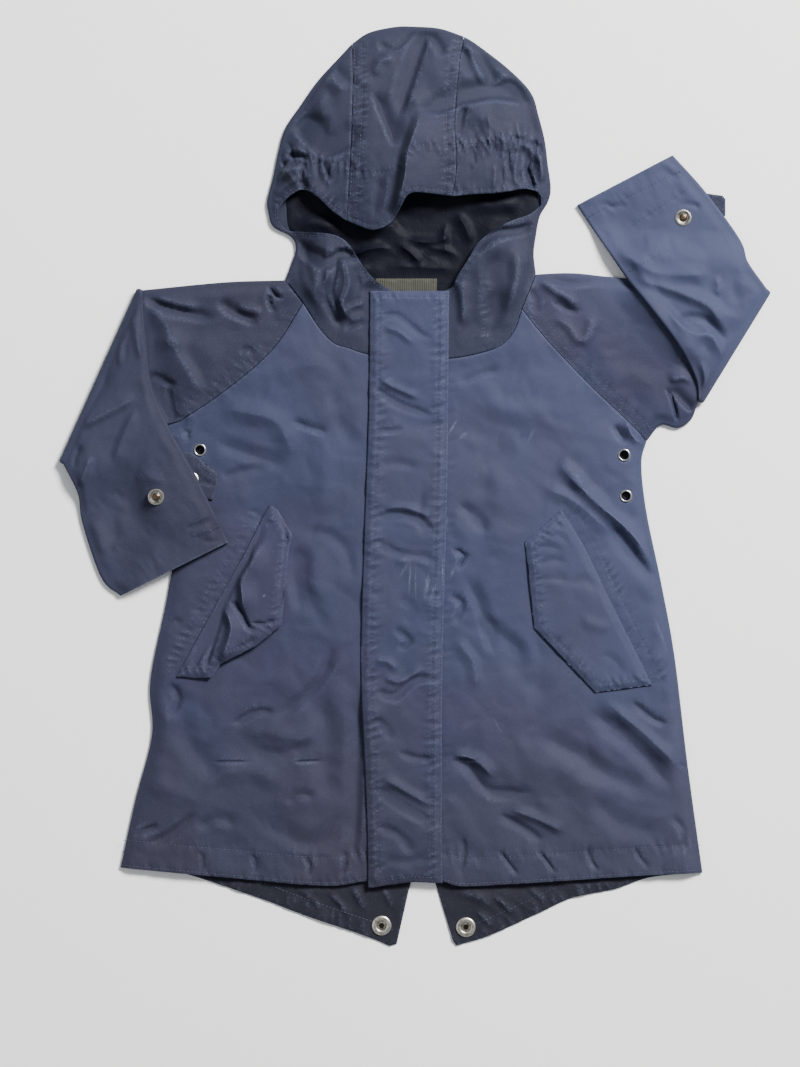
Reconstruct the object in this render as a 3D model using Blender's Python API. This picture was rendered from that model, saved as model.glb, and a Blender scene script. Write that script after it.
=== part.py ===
"""A child's light hooded parka, laid flat on its back with both sleeves folded over at the elbow.

Sizes in the tables are millimetres; the meshes are built in metres, +Z up, with the cloth resting on
z = 0 and the origin under the middle of the garment. Left and right are the wearer's, so the wearer's
right lies at -X. Every cloth piece is a wall of one thickness. Flat pieces are filled outlines, sleeves
are lofts of flattened rings, and the hood's pieces roll over from the front layer to the back layer.
"""

import math

import bpy
import numpy as np
from mathutils.geometry import delaunay_2d_cdt

MM = 0.001

# ---------------------------------------------------------------- driving sizes, mm
CENTRE = (0.0, 0.3, 0.0)  # middle of the garment's outline in the tables below
WALL = 1.2  # cloth wall
SEAM_GAP = 0.3  # between pieces that are sewn together
SLEEVE_SET_IN = 0.35  # a sleeve's share of the gap at its seams
FRONT_UNDER = 2.8  # underside of the front layer over the surface
FRONT_TOP = FRONT_UNDER + WALL
SEAM_UNDER = WALL + SEAM_GAP  # underside of a front where its side seam meets the back
ROLL = FRONT_TOP / 2  # radius of a rolled fold, from the back layer to the front layer
ELBOW_AXIS = 4.2  # height of the line that a folded sleeve turns about
ON_TOP = FRONT_TOP + SEAM_GAP  # underside of what lies on the fronts
BODY_LATTICE = 19.0
BACK_LATTICE = 28.0
HOOD_LATTICE = 15.0
TRIM_LATTICE = 16.0
EDGE_STEP = 16.0  # point spacing along outlines
FINE_STEP = 9.0  # the same on small pieces and tight curves
ROLL_STEPS = 4  # segments round a rolled fold
ELBOW_STEPS = 4  # segments round an elbow fold
CURVE_SAMPLES = 24  # between two points of a smooth curve, before it is spaced evenly
SHARP_ANGLE = 50  # degrees; flatter edges are shaded smooth
MITRE_LEAST = 0.15  # sine of the smallest turn that gets a mitred corner
# Lattice points keep these shares of the spacing clear of outlines and of marks; marks of outlines.
LATTICE_TO_EDGE = 0.5
LATTICE_TO_MARK = 0.62
MARK_TO_EDGE = 0.4

EYELET_HOLE = 3.9  # radius of the hole in the cloth
EYELET_BORE = 3.3
EYELET_BARREL = 3.6
EYELET_FLANGE = 4.65
EYELET_REACH = -1.6  # how far the barrel goes down past the cloth's upper face
STUD_RADIUS = 6.2
STUD_GAP = 0.45  # over a forearm, whose facets rise a little above its curve
TAB_SNAP_RADIUS = 6.0
TAIL_SNAP_RADIUS = 7.5
ROUND_SEGMENTS = 16
HOLE_SEGMENTS = 12
# Turned profiles, (radius, height) up the outside; one that starts off the axis is a ring.
EYELET_PROFILE = [(EYELET_BORE, EYELET_REACH), (EYELET_BARREL, EYELET_REACH), (EYELET_BARREL, 0.0),
                  (EYELET_FLANGE, 0.0), (EYELET_FLANGE, 0.35), (EYELET_FLANGE - 0.5, 0.7),
                  (EYELET_BORE + 0.3, 0.7), (EYELET_BORE, 0.4)]
STUD_PROFILE = [(0.0, 0.0), (STUD_RADIUS, 0.0), (STUD_RADIUS, 0.5), (STUD_RADIUS - 0.8, 0.9), (4.2, 0.7),
                (2.7, 0.7), (2.4, 1.6), (1.6, 1.9), (0.0, 1.9)]
TAB_SNAP_PROFILE = [(0.0, 0.0), (TAB_SNAP_RADIUS, 0.0), (TAB_SNAP_RADIUS, 0.4), (TAB_SNAP_RADIUS - 0.8, 0.8),
                    (0.0, 0.8)]
TAIL_SNAP_PROFILE = [(0.0, 0.0), (TAIL_SNAP_RADIUS, 0.0), (TAIL_SNAP_RADIUS, 0.6),
                     (TAIL_SNAP_RADIUS - 0.9, 1.3), (3.6, 1.5), (3.0, 1.2), (2.8, 0.6), (0.0, 0.6)]

# ---------------------------------------------------------------- outlines, mm (x, y)
# Body. Each curve runs through its points smoothly; corners are where two curves meet.
SIDE_RIGHT = [(-176.2, 49.1), (-174.8, 12.4), (-177.0, -25.1), (-186.0, -82.1), (-198.8, -145.1),
              (-197.6, -186.0), (-210.0, -235.1), (-221.2, -286.1)]
SIDE_LEFT = [(174.0, 34.1), (170.2, 16.9), (174.0, -19.1), (185.2, -73.1), (195.0, -127.1),
             (204.8, -208.1), (216.0, -289.9)]
HEM_RIGHT = [(-221.2, -286.1), (-139.5, -293.6), (-67.5, -299.6), (-36.0, -296.2), (-7.5, -295.1)]
HEM_LEFT = [(-1.5, -295.9), (21.0, -296.6), (39.0, -300.0), (111.0, -295.9), (172.5, -291.8),
            (216.0, -289.9)]
NECK_RIGHT = [(-84.0, 137.6), (-71.2, 118.1), (-60.8, 107.6), (-50.2, 103.9), (-34.5, 99.0),
              (-7.5, 96.4)]
NECK_LEFT = [(80.2, 133.1), (74.0, 116.6), (63.8, 105.4), (46.5, 99.4), (26.2, 95.9), (-1.5, 95.6)]
RAGLAN_RIGHT = [(-84.0, 137.6), (-101.2, 109.9), (-117.8, 91.9), (-144.8, 70.1), (-176.2, 49.1)]
RAGLAN_LEFT = [(80.2, 133.1), (93.8, 115.9), (108.8, 99.4), (135.8, 71.6), (159.0, 49.9), (174.0, 34.1)]
SHOULDER_RIGHT = (-97.5, 154.9)  # where sleeve fold, hood and neck seam meet
SHOULDER_LEFT = (90.8, 159.4)
CENTRE_EDGE_RIGHT = -7.5  # the fronts' edges under the placket
CENTRE_EDGE_LEFT = -1.5
NECK_BACK = [(-84.0, 155.6), (-40.0, 157.1), (30.0, 157.1), (80.2, 157.3)]
RAGLAN_BACK_RIGHT = [(-84.0, 155.6), (-104.0, 122.0), (-134.0, 88.0), (-176.2, 49.1)]
RAGLAN_BACK_LEFT = [(80.2, 157.3), (98.0, 124.0), (130.0, 84.0), (174.0, 34.1)]
# The fishtail: each half runs out to a point beside the slit.
TAIL_RIGHT = [(-221.2, -286.1), (-180.0, -289.1), (-117.8, -309.1), (-83.2, -322.1), (-39.0, -337.1),
              (-19.0, -345.2)]
TAIL_LEFT = [(216.0, -289.9), (177.0, -293.6), (149.2, -302.6), (118.0, -309.0), (93.0, -320.4),
             (56.2, -337.1), (31.0, -344.9)]
SLIT = [(-19.0, -345.2), (-13.5, -343.5), (-3.0, -296.6), (6.0, -266.6), (14.8, -296.6), (28.3, -340.9),
        (31.0, -344.9)]

# Hood: the silhouette is a rolled fold, the seams cut it into two sides and a centre strip.
HOOD_RIM_RIGHT = [(-47.2, 332.6), (-56.2, 322.9), (-72.8, 304.9), (-85.5, 286.9), (-97.5, 268.9),
                  (-102.8, 250.9), (-106.5, 232.9), (-111.0, 214.9), (-110.2, 205.9), (-106.5, 194.9),
                  (-93.0, 187.4), (-89.5, 178.9), (-92.2, 168.9), (-97.5, 154.9)]
HOOD_RIM_LEFT = [(36.8, 337.9), (46.5, 331.9), (69.8, 313.9), (87.0, 295.9), (93.0, 277.9),
                 (97.5, 259.9), (99.8, 241.9), (102.0, 223.9), (99.8, 213.4), (93.8, 202.9),
                 (90.8, 187.9), (89.2, 174.4), (90.8, 159.4)]
HOOD_CROWN = [(-47.2, 332.6), (-34.5, 340.9), (-15.0, 345.2), (0.0, 345.4), (18.8, 343.9), (36.8, 337.9)]
HOOD_SEAM_RIGHT = [(-47.2, 332.6), (-46.5, 304.9), (-47.2, 274.9), (-48.8, 237.4), (-51.0, 198.4)]
HOOD_SEAM_LEFT = [(36.8, 337.9), (33.0, 312.4), (30.0, 274.9), (30.8, 237.4), (27.8, 216.4)]
HOOD_BACK_SEAM_RIGHT = [(-47.2, 332.6), (-46.5, 304.9), (-44.0, 240.0), (-40.0, 157.1)]
HOOD_BACK_SEAM_LEFT = [(36.8, 337.9), (33.0, 312.4), (31.0, 240.0), (30.0, 157.1)]
BRIM_RIGHT = [(-102.4, 208.0), (-96.0, 215.5), (-84.0, 222.0), (-73.5, 216.4), (-61.5, 205.1),
              (-51.0, 198.4)]
BRIM_CENTRE = [(-51.0, 198.4), (-36.8, 192.4), (-28.5, 191.6), (-18.0, 196.9), (-11.2, 206.6),
               (-5.2, 216.4), (3.8, 218.6), (27.8, 216.4)]
BRIM_LEFT = [(27.8, 216.4), (43.5, 217.9), (63.8, 219.4), (84.0, 222.5), (93.5, 219.0), (94.6, 211.5)]
COLLAR_RIGHT = [(-102.4, 208.0), (-102.0, 199.9), (-96.0, 192.5), (-85.5, 191.0), (-60.0, 188.0),
                (-48.8, 180.4), (-41.2, 168.4), (-30.0, 154.9), (-17.2, 147.4), (-7.5, 146.6)]
COLLAR_LEFT = [(94.6, 211.5), (86.2, 204.5), (71.2, 198.4), (58.5, 191.6), (47.2, 182.6), (39.8, 170.4),
               (32.2, 158.6), (24.0, 147.4), (-1.5, 146.6)]

# What lies on the fronts.
PLACKET_FREE = [(-33.8, 146.6), (-34.6, 60.0), (-38.0, -36.4), (-40.5, -131.6), (-38.0, -200.0),
                (-35.8, -256.0), (-35.2, -301.1)]
PLACKET_SEWN = [(25.5, 146.6), (24.4, 14.6), (22.1, -77.6), (20.4, -151.1), (20.2, -246.4),
                (20.6, -297.4)]
PLACKET_HEM = [(-35.2, -301.1), (-3.0, -296.4), (20.6, -297.4)]
PLACKET_TOP = [(25.5, 146.6), (-33.8, 146.6)]
FLAP_LEFT_SEAM = [(109.5, -17.6), (126.0, -43.9), (142.5, -78.4), (160.5, -114.4), (177.8, -148.9)]
FLAP_LEFT_FREE = [(109.5, -17.6), (82.5, -41.5), (89.2, -106.0), (135.0, -154.5), (177.8, -148.9)]
FLAP_RIGHT_SEAM = [(-112.5, -20.0), (-131.0, -56.0), (-156.0, -101.0), (-179.0, -143.0)]
FLAP_RIGHT_FREE = [(-112.5, -20.0), (-108.5, -13.5), (-102.8, -17.6), (-91.5, -37.1), (-94.5, -46.1),
                   (-98.2, -85.1), (-99.8, -103.9), (-119.2, -119.6), (-145.5, -133.1), (-153.0, -143.6),
                   (-179.0, -143.0)]
TAB_RIGHT = [(-190.0, 31.0), (-173.2, 25.8), (-168.0, 26.2), (-148.2, 9.8), (-147.6, 1.0),
             (-151.5, -10.0), (-186.0, -4.0), (-190.0, 31.0)]
TAB_LEFT = [(196.0, 226.0), (190.0, 206.0), (229.6, 201.0), (233.2, 203.6), (233.2, 216.0),
            (231.0, 218.6), (219.8, 220.1), (196.0, 226.0)]
LABEL = [(-30.0, 156.2), (-30.0, 141.0), (16.5, 141.0), (16.5, 156.2), (-30.0, 156.2)]

# ---------------------------------------------------------------- sleeves, mm
# crease: the elbow fold from the top edge to the underarm edge, on the silhouette.
# top, under: edges of the upper arm; fore_top, fore_under: edges of the folded-over forearm.
SLEEVES = {
    "sleeve_right": dict(
        crease=[(-208.5, 149.2), (-267.4, 18.4)],
        top=[(-97.5, 154.9), (-143.0, 153.4), (-208.5, 149.2)],
        under=[(-176.2, 49.1), (-205.0, 40.0), (-267.4, 18.4)],
        fore_top=[(-208.5, 149.2), (-201.8, 113.6), (-194.2, 66.4), (-161.2, 2.6), (-139.5, -41.6)],
        fore_under=[(-267.4, 18.4), (-253.0, -5.0), (-249.8, -27.4), (-235.5, -68.6), (-221.2, -82.1)],
    ),
    "sleeve_left": dict(
        crease=[(267.4, 145.9), (216.0, 66.4)],
        top=[(90.8, 159.4), (119.2, 160.2), (157.5, 156.4), (267.4, 145.9)],
        under=[(174.0, 34.1), (184.5, 46.1), (197.2, 43.9), (209.2, 54.4), (216.0, 66.4)],
        fore_top=[(267.4, 145.9), (249.8, 168.0), (243.8, 185.6), (218.2, 220.9), (193.5, 248.6)],
        fore_under=[(216.0, 66.4), (211.5, 84.4), (195.0, 112.1), (157.5, 157.1), (121.5, 211.1)],
    ),
}
UPPER_RINGS = 6
FORE_RINGS = 9
SPREAD_START = 12.0  # a forearm keeps its height this far past what it covers
SPREAD_REACH = 28.0  # and has come down to the surface this much further out
TAB_LIFTS = {  # x, y, radius, height: a forearm rises over its cuff tab
    "sleeve_right": (-170.0, 10.0, 56.0, 2.9),
    "sleeve_left": (206.0, 208.0, 60.0, 1.6),
}
TAB_LIFT_STEEPNESS = 2.6

# ---------------------------------------------------------------- relief, mm
# Soft ridges (height > 0) and troughs (height < 0): x0, y0, x1, y1, half width, height.
FRONT_FOLDS = [
    (-141.0, 51.0, -96.8, 18.4, 17.0, 3.0),
    (-70.0, -40.0, -64.0, -108.0, 16.0, 3.2),
    (-139.0, -176.0, -78.0, -190.0, 16.0, 3.0),
    (-150.0, -222.0, -96.0, -232.0, 16.0, 2.4),
    (-112.0, -262.0, -70.0, -256.0, 15.0, 2.2),
    (126.0, 6.0, 160.0, -40.0, 15.0, 3.4),
    (52.0, 60.0, 104.0, 48.0, 18.0, 2.6),
    (40.0, -60.0, 62.0, -110.0, 16.0, 2.4),
    (44.0, -214.0, 72.0, -236.0, 15.0, 2.8),
    (62.0, -252.0, 98.0, -266.0, 14.0, 2.2),
    (150.0, -186.0, 186.0, -240.0, 16.0, 3.0),
    (104.0, -206.0, 134.0, -238.0, 16.0, 2.4),
]
UPPER_FOLDS = [
    (-184.0, 130.0, -140.0, 122.0, 14.0, 2.6),
    (-136.0, 134.0, -116.0, 118.0, 12.0, 2.2),
    (104.0, 148.0, 124.0, 124.0, 13.0, 2.8),
    (150.0, 110.0, 170.0, 84.0, 15.0, 2.4),
]
FORE_FOLDS = [
    (-236.0, 96.0, -216.0, 52.0, 16.0, 2.6),
    (-232.0, 8.0, -196.0, -20.0, 16.0, 2.2),
    (150.0, 172.0, 214.0, 160.0, 14.0, 3.0),
    (186.0, 124.0, 236.0, 112.0, 14.0, 2.8),
    (186.0, 196.0, 206.0, 180.0, 14.0, 2.2),
]
# The hood stands off the surface: x, y, x spread, y spread, height.
HOOD_RISES = [
    (-5.0, 240.0, 84.0, 66.0, 18.0),
    (-74.0, 164.0, 26.0, 26.0, 6.5),
    (66.0, 166.0, 26.0, 32.0, 7.0),
]
HOOD_FOLDS = [
    (-93.0, 277.0, -64.0, 250.0, 13.0, -4.0),
    (-30.0, 284.0, -17.0, 253.0, 12.0, -4.0),
    (8.0, 330.0, -12.0, 276.0, 12.0, -2.6),
    (5.0, 273.0, -9.0, 222.0, 13.0, 3.6),
    (12.0, 290.0, 78.0, 294.0, 14.0, -4.2),
    (-74.0, 182.0, -56.0, 128.0, 11.0, -3.2),
    (62.0, 190.0, 68.0, 134.0, 12.0, 2.2),
]
FLAP_FOLDS = [  # the wearer's right flap is lifted along a soft fold
    (-108.0, -34.0, -118.0, -108.0, 12.0, 3.6),
    (-124.0, -70.0, -148.0, -134.0, 11.0, 2.6),
]
PLACKET_FOLDS = [
    (-30.0, 64.0, 18.0, 58.0, 9.0, 1.2),
    (-34.0, -26.0, 16.0, -22.0, 9.0, 1.0),
    (-36.0, -128.0, 12.0, -134.0, 9.0, 1.0),
    (-32.0, -224.0, 14.0, -222.0, 9.0, 1.0),
]
FREE_EDGE_MARGIN = 6.0  # relief starts this far from what lies on a panel
RELIEF_RAMP = 14.0
SIDE_RAMP = 8.0  # the fronts come down to the side seams over this width
HOOD_RIM_RAMP = 26.0
HOOD_NECK_RAMP = 16.0
RIM_MARGIN = 0.01  # keeps the edge of a roll level
LABEL_WALL = 1.0
TAB_WALL = 1.0

# ---------------------------------------------------------------- hardware: name, (sleeve,) x, y, mm
EYELETS = [
    ("eyelet_right", -161.2, 27.4),
    ("eyelet_left_upper", 156.8, 23.6),
    ("eyelet_left_lower", 158.2, -7.1),
]
TAIL_SNAPS = [("tail_snap_right", -25.1, -329.6), ("tail_snap_left", 38.2, -330.8)]
CUFF_STUDS = [
    ("cuff_stud_right", "sleeve_right", -193.5, -7.9),
    ("cuff_stud_left", "sleeve_left", 201.0, 201.4),
]
TAB_SNAP = ("tab_snap_right", -168.0, 4.9)

COLOURS = {  # name: linear colour, roughness, metallic
    "cloth": ((0.030, 0.045, 0.110), 0.75, 0.0),
    "label": ((0.070, 0.065, 0.030), 0.80, 0.0),
    "zip": ((0.012, 0.016, 0.035), 0.60, 0.0),
    "snap": ((0.450, 0.410, 0.330), 0.35, 1.0),
    "eyelet": ((0.100, 0.095, 0.090), 0.35, 1.0),
}


# ---------------------------------------------------------------- curves and loops
def curve(points, step, pieces=0):
    """Points about a step apart, or in a set number of pieces, along a smooth curve."""
    given = np.array(points, float)
    if len(given) == 2:
        dense = given
    else:
        padded = np.vstack([2 * given[0] - given[1], given, 2 * given[-1] - given[-2]])
        dense = []
        for a, b, c, d in zip(padded, padded[1:], padded[2:], padded[3:]):
            for t in np.linspace(0.0, 1.0, CURVE_SAMPLES, endpoint=False):
                dense.append(0.5 * (2 * b + (c - a) * t + (2 * a - 5 * b + 4 * c - d) * t ** 2
                                    + (3 * b - a - 3 * c + d) * t ** 3))
        dense = np.array(dense + [given[-1]])
    along = np.concatenate([[0.0], np.cumsum(np.linalg.norm(np.diff(dense, axis=0), axis=1))])
    pieces = pieces or max(1, round(along[-1] / step))
    marks = np.linspace(0.0, along[-1], pieces + 1)
    return np.stack([np.interp(marks, along, dense[:, axis]) for axis in (0, 1)], axis=1)


def straight(points, step):
    """Points along straight sides through the given corners."""
    sides = [curve(pair, step)[:-1] for pair in zip(points, points[1:])]
    return np.vstack(sides + [np.array(points[-1:])])


def loop_of(*parts):
    """Join open curves, each starting where the last one ended, into one closed loop."""
    return np.vstack([part[:-1] for part in parts])


def signed_area(loop):
    """Positive where the loop runs counter-clockwise."""
    ahead = np.roll(loop, -1, axis=0)
    return 0.5 * np.sum(loop[:, 0] * ahead[:, 1] - ahead[:, 0] * loop[:, 1])


def inset(loop, amounts):
    """Move each side of a counter-clockwise loop inwards by its own amount."""
    amounts = np.broadcast_to(np.asarray(amounts, float), len(loop))
    sides = np.roll(loop, -1, axis=0) - loop
    sides /= np.linalg.norm(sides, axis=1)[:, None]
    inward = np.stack([-sides[:, 1], sides[:, 0]], axis=1)
    moved = []
    for i, point in enumerate(loop):
        n0, n1 = inward[i - 1], inward[i]
        a0, a1 = amounts[i - 1], amounts[i]
        cross = n0[0] * n1[1] - n0[1] * n1[0]
        if abs(cross) > MITRE_LEAST:
            shift = np.array([(a0 * n1[1] - a1 * n0[1]) / cross, (n0[0] * a1 - n1[0] * a0) / cross])
        else:
            middle = n0 + n1
            shift = middle / np.dot(middle, middle) * (a0 + a1)
        moved.append(point + shift)
    return np.array(moved)


def inside(points, loop):
    """Which points lie inside a loop, by counting its sides to their left."""
    x, y = points[:, 0:1], points[:, 1:2]
    x0, y0 = loop[:, 0], loop[:, 1]
    x1, y1 = np.roll(x0, -1), np.roll(y0, -1)
    spans = (y0 > y) != (y1 > y)
    rise = np.where(y1 == y0, 1e-12, y1 - y0)
    crossing = x < x0 + (y - y0) * (x1 - x0) / rise
    return np.sum(spans & crossing, axis=1) % 2 == 1


def distance_to(points, line, closed=False):
    """Distance from each point to a chain of points."""
    starts, ends = (line, np.roll(line, -1, axis=0)) if closed else (line[:-1], line[1:])
    along = ends - starts
    offset = points[:, None, :] - starts[None]
    share = np.sum(offset * along, axis=2) / np.maximum(np.sum(along ** 2, axis=1), 1e-12)
    nearest = starts + np.clip(share, 0.0, 1.0)[..., None] * along
    return np.linalg.norm(points[:, None, :] - nearest, axis=2).min(axis=1)


def outside_by(points, loop):
    """How far each point lies outside a loop; nothing inside it."""
    return np.where(inside(points, loop), 0.0, distance_to(points, loop, closed=True))


def smooth(value):
    """An even ramp from 0 to 1."""
    value = np.clip(value, 0.0, 1.0)
    return value * value * (3.0 - 2.0 * value)


def relief(points, folds):
    """Height of soft ridges and troughs at each point."""
    total = np.zeros(len(points))
    for x0, y0, x1, y1, half_width, height in folds:
        start, end = np.array([x0, y0]), np.array([x1, y1])
        along = end - start
        share = (points - start) @ along / (along @ along)
        nearest = start + np.clip(share, 0.0, 1.0)[:, None] * along
        away = np.linalg.norm(points - nearest, axis=1)
        total += height * smooth(1.0 - away / half_width)
    return total


def fold_marks(folds, spacing):
    """Points along the spine of each fold, so that a coarse lattice still shows it."""
    marks = []
    for x0, y0, x1, y1, _, _ in folds:
        marks.extend(curve([(x0, y0), (x1, y1)], spacing))
    return np.array(marks).reshape(-1, 2)


# ---------------------------------------------------------------- sheets and solids
class Sheet:
    """A surface with an outer and an inner position for every point."""

    def __init__(self):
        self.outer = []
        self.inner = []
        self.faces = []

    def add(self, outer, inner):
        first = len(self.outer)
        self.outer.extend(map(tuple, outer))
        self.inner.extend(map(tuple, inner))
        return first


def fill(loop, spacing, holes=(), marks=()):
    """Triangles over a closed loop: its own points, an even lattice and extra marks inside."""
    rings = [np.asarray(loop)] + [np.asarray(hole) for hole in holes]
    low, high = rings[0].min(axis=0), rings[0].max(axis=0)
    row_height = spacing * math.sqrt(3) / 2
    rows = range(math.floor(low[1] / row_height), math.ceil(high[1] / row_height) + 1)
    columns = range(math.floor(low[0] / spacing) - 1, math.ceil(high[0] / spacing) + 1)
    lattice = np.array([((c + 0.5 * (r % 2)) * spacing, r * row_height) for r in rows for c in columns])
    keep = inside(lattice, rings[0])
    for ring in rings:
        keep &= distance_to(lattice, ring, closed=True) > LATTICE_TO_EDGE * spacing
    for hole in rings[1:]:
        keep &= ~inside(lattice, hole)
    lattice = lattice[keep]
    marks = np.asarray(marks, float).reshape(-1, 2)
    if len(marks):
        good = inside(marks, rings[0])
        for ring in rings:
            good &= distance_to(marks, ring, closed=True) > MARK_TO_EDGE * spacing
        marks = marks[good]
    if len(marks) and len(lattice):
        apart = np.linalg.norm(lattice[:, None] - marks[None], axis=2).min(axis=1)
        lattice = lattice[apart > LATTICE_TO_MARK * spacing]
    points = np.vstack(rings + [lattice, marks])
    edges = []
    start = 0
    for ring in rings:
        count = len(ring)
        edges += [(start + i, start + (i + 1) % count) for i in range(count)]
        start += count
    _, _, found, origins, _, _ = delaunay_2d_cdt(points.tolist(), edges, [], 1, 1e-6, True)
    faces = np.array([[origins[corner][0] for corner in face] for face in found])
    middles = points[faces].mean(axis=1)
    wanted = inside(middles, rings[0])
    for hole in rings[1:]:
        wanted &= ~inside(middles, hole)
    faces = faces[wanted]
    a, b, c = points[faces[:, 0]], points[faces[:, 1]], points[faces[:, 2]]
    turn = (b[:, 0] - a[:, 0]) * (c[:, 1] - a[:, 1]) - (b[:, 1] - a[:, 1]) * (c[:, 0] - a[:, 0])
    faces[turn < 0] = faces[turn < 0][:, ::-1]
    return points, faces


def at_height(points, heights):
    """Flat points with their heights added."""
    return np.column_stack([points, np.broadcast_to(heights, len(points))])


def make_material(key):
    """One of the plain materials in COLOURS, made once."""
    material = bpy.data.materials.get(key)
    if material is None:
        colour, roughness, metallic = COLOURS[key]
        material = bpy.data.materials.new(key)
        material.use_nodes = True
        shader = material.node_tree.nodes["Principled BSDF"]
        shader.inputs["Base Color"].default_value = (*colour, 1.0)
        shader.inputs["Roughness"].default_value = roughness
        shader.inputs["Metallic"].default_value = metallic
    return material


def add_object(name, points, faces, key):
    """A named mesh in metres, centred on the origin and parented to the garment."""
    mesh = bpy.data.meshes.new(name)
    mesh.from_pydata(((np.array(points) - CENTRE) * MM).tolist(), [], faces)
    mesh.materials.append(make_material(key))
    mesh.validate()
    mesh.update()
    mesh.shade_smooth()
    mesh.set_sharp_from_angle(angle=math.radians(SHARP_ANGLE))
    obj = bpy.data.objects.new(name, mesh)
    bpy.context.scene.collection.objects.link(obj)
    obj.parent = garment
    return obj


def add_cloth(name, sheet, key="cloth"):
    """One closed body: an outer skin, an inner skin and a wall round every open edge."""
    count = len(sheet.outer)
    skins = [tuple(face) for face in sheet.faces]
    directed = {(a, b) for face in skins for a, b in zip(face, face[1:] + face[:1])}
    inner = [tuple(corner + count for corner in reversed(face)) for face in skins]
    walls = [(b, a, a + count, b + count) for a, b in sorted(directed) if (b, a) not in directed]
    return add_object(name, sheet.outer + sheet.inner, skins + inner + walls, key)


def add_flat(name, loop, top, spacing, key="cloth", holes=(), marks=(), wall=WALL):
    """A single layer of cloth whose upper face follows a height function."""
    points, faces = fill(loop, spacing, holes, marks)
    heights = top(points)
    sheet = Sheet()
    sheet.add(at_height(points, heights), at_height(points, heights - wall))
    sheet.faces = faces.tolist()
    return add_cloth(name, sheet, key)


# ---------------------------------------------------------------- shared seams
def sample_seams():
    """Every outline curve, sampled once, so that neighbours share their points."""
    found = {
        "side_right": curve(SIDE_RIGHT, EDGE_STEP),
        "side_left": curve(SIDE_LEFT, EDGE_STEP),
        "hem_right": curve(HEM_RIGHT, EDGE_STEP),
        "hem_left": curve(HEM_LEFT, EDGE_STEP),
        "neck_right": curve(NECK_RIGHT, EDGE_STEP),
        "neck_left": curve(NECK_LEFT, EDGE_STEP),
        "raglan_right": curve(RAGLAN_RIGHT, EDGE_STEP),
        "raglan_left": curve(RAGLAN_LEFT, EDGE_STEP),
        "neck_back_right": curve(NECK_BACK[:2], EDGE_STEP),
        "neck_back_centre": curve(NECK_BACK[1:3], EDGE_STEP),
        "neck_back_left": curve(NECK_BACK[2:], EDGE_STEP),
        "tail_right": curve(TAIL_RIGHT, EDGE_STEP),
        "tail_left": curve(TAIL_LEFT, EDGE_STEP),
        "slit": straight(SLIT, EDGE_STEP),
        "shoulder_right": curve([SHOULDER_RIGHT, NECK_RIGHT[0]], EDGE_STEP),
        "shoulder_left": curve([SHOULDER_LEFT, NECK_LEFT[0]], EDGE_STEP),
        "rim_right": curve(HOOD_RIM_RIGHT, FINE_STEP),
        "rim_left": curve(HOOD_RIM_LEFT, FINE_STEP),
        "crown": curve(HOOD_CROWN, FINE_STEP),
        "hood_seam_right": curve(HOOD_SEAM_RIGHT, EDGE_STEP),
        "hood_seam_left": curve(HOOD_SEAM_LEFT, EDGE_STEP),
        "hood_back_seam_right": curve(HOOD_BACK_SEAM_RIGHT, EDGE_STEP),
        "hood_back_seam_left": curve(HOOD_BACK_SEAM_LEFT, EDGE_STEP),
        "brim_right": curve(BRIM_RIGHT, FINE_STEP),
        "brim_centre": curve(BRIM_CENTRE, FINE_STEP),
        "brim_left": curve(BRIM_LEFT, FINE_STEP),
        "collar_right": curve(COLLAR_RIGHT, FINE_STEP),
        "collar_left": curve(COLLAR_LEFT, FINE_STEP),
    }
    backs = {
        "shoulder_back_right": ("shoulder_right", [SHOULDER_RIGHT, NECK_BACK[0]]),
        "shoulder_back_left": ("shoulder_left", [SHOULDER_LEFT, NECK_BACK[-1]]),
        "raglan_back_right": ("raglan_right", RAGLAN_BACK_RIGHT),
        "raglan_back_left": ("raglan_left", RAGLAN_BACK_LEFT),
    }
    for name, (front, points) in backs.items():
        found[name] = curve(points, EDGE_STEP, pieces=len(found[front]) - 1)
    return found


def centre_edge(x, low, high):
    """A straight edge up or down the front's middle."""
    return curve([(x, low), (x, high)], EDGE_STEP)


def front_loops():
    """Outlines of the two fronts."""
    right = loop_of(seam["side_right"], seam["hem_right"],
                    centre_edge(CENTRE_EDGE_RIGHT, HEM_RIGHT[-1][1], NECK_RIGHT[-1][1]),
                    seam["neck_right"][::-1], seam["raglan_right"])
    left = loop_of(seam["neck_left"], centre_edge(CENTRE_EDGE_LEFT, NECK_LEFT[-1][1], HEM_LEFT[0][1]),
                   seam["hem_left"], seam["side_left"][::-1], seam["raglan_left"][::-1])
    return {"front_right": right, "front_left": left}


def overlay_loops():
    """Outlines of what lies on the fronts."""
    return {
        "placket": loop_of(curve(PLACKET_FREE, EDGE_STEP), straight(PLACKET_HEM, EDGE_STEP),
                           curve(PLACKET_SEWN, EDGE_STEP)[::-1], straight(PLACKET_TOP, EDGE_STEP)),
        "pocket_flap_right": loop_of(curve(FLAP_RIGHT_SEAM, EDGE_STEP),
                                     straight(FLAP_RIGHT_FREE, TRIM_LATTICE)[::-1]),
        "pocket_flap_left": loop_of(straight(FLAP_LEFT_FREE, TRIM_LATTICE),
                                    curve(FLAP_LEFT_SEAM, EDGE_STEP)[::-1]),
    }


# ---------------------------------------------------------------- sleeves
def patch(first, last, top, under, rows, shares):
    """A grid of points between two end rings and two edge curves."""
    tops = curve(top, EDGE_STEP, pieces=rows)
    unders = curve(under, EDGE_STEP, pieces=rows)
    grid = []
    for row, (high, low) in enumerate(zip(tops, unders)):
        u = row / rows
        line = (1 - u) * first + u * last
        line = line + (1 - shares)[:, None] * (high - line[0]) + shares[:, None] * (low - line[-1])
        grid.append(line)
    return grid


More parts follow.
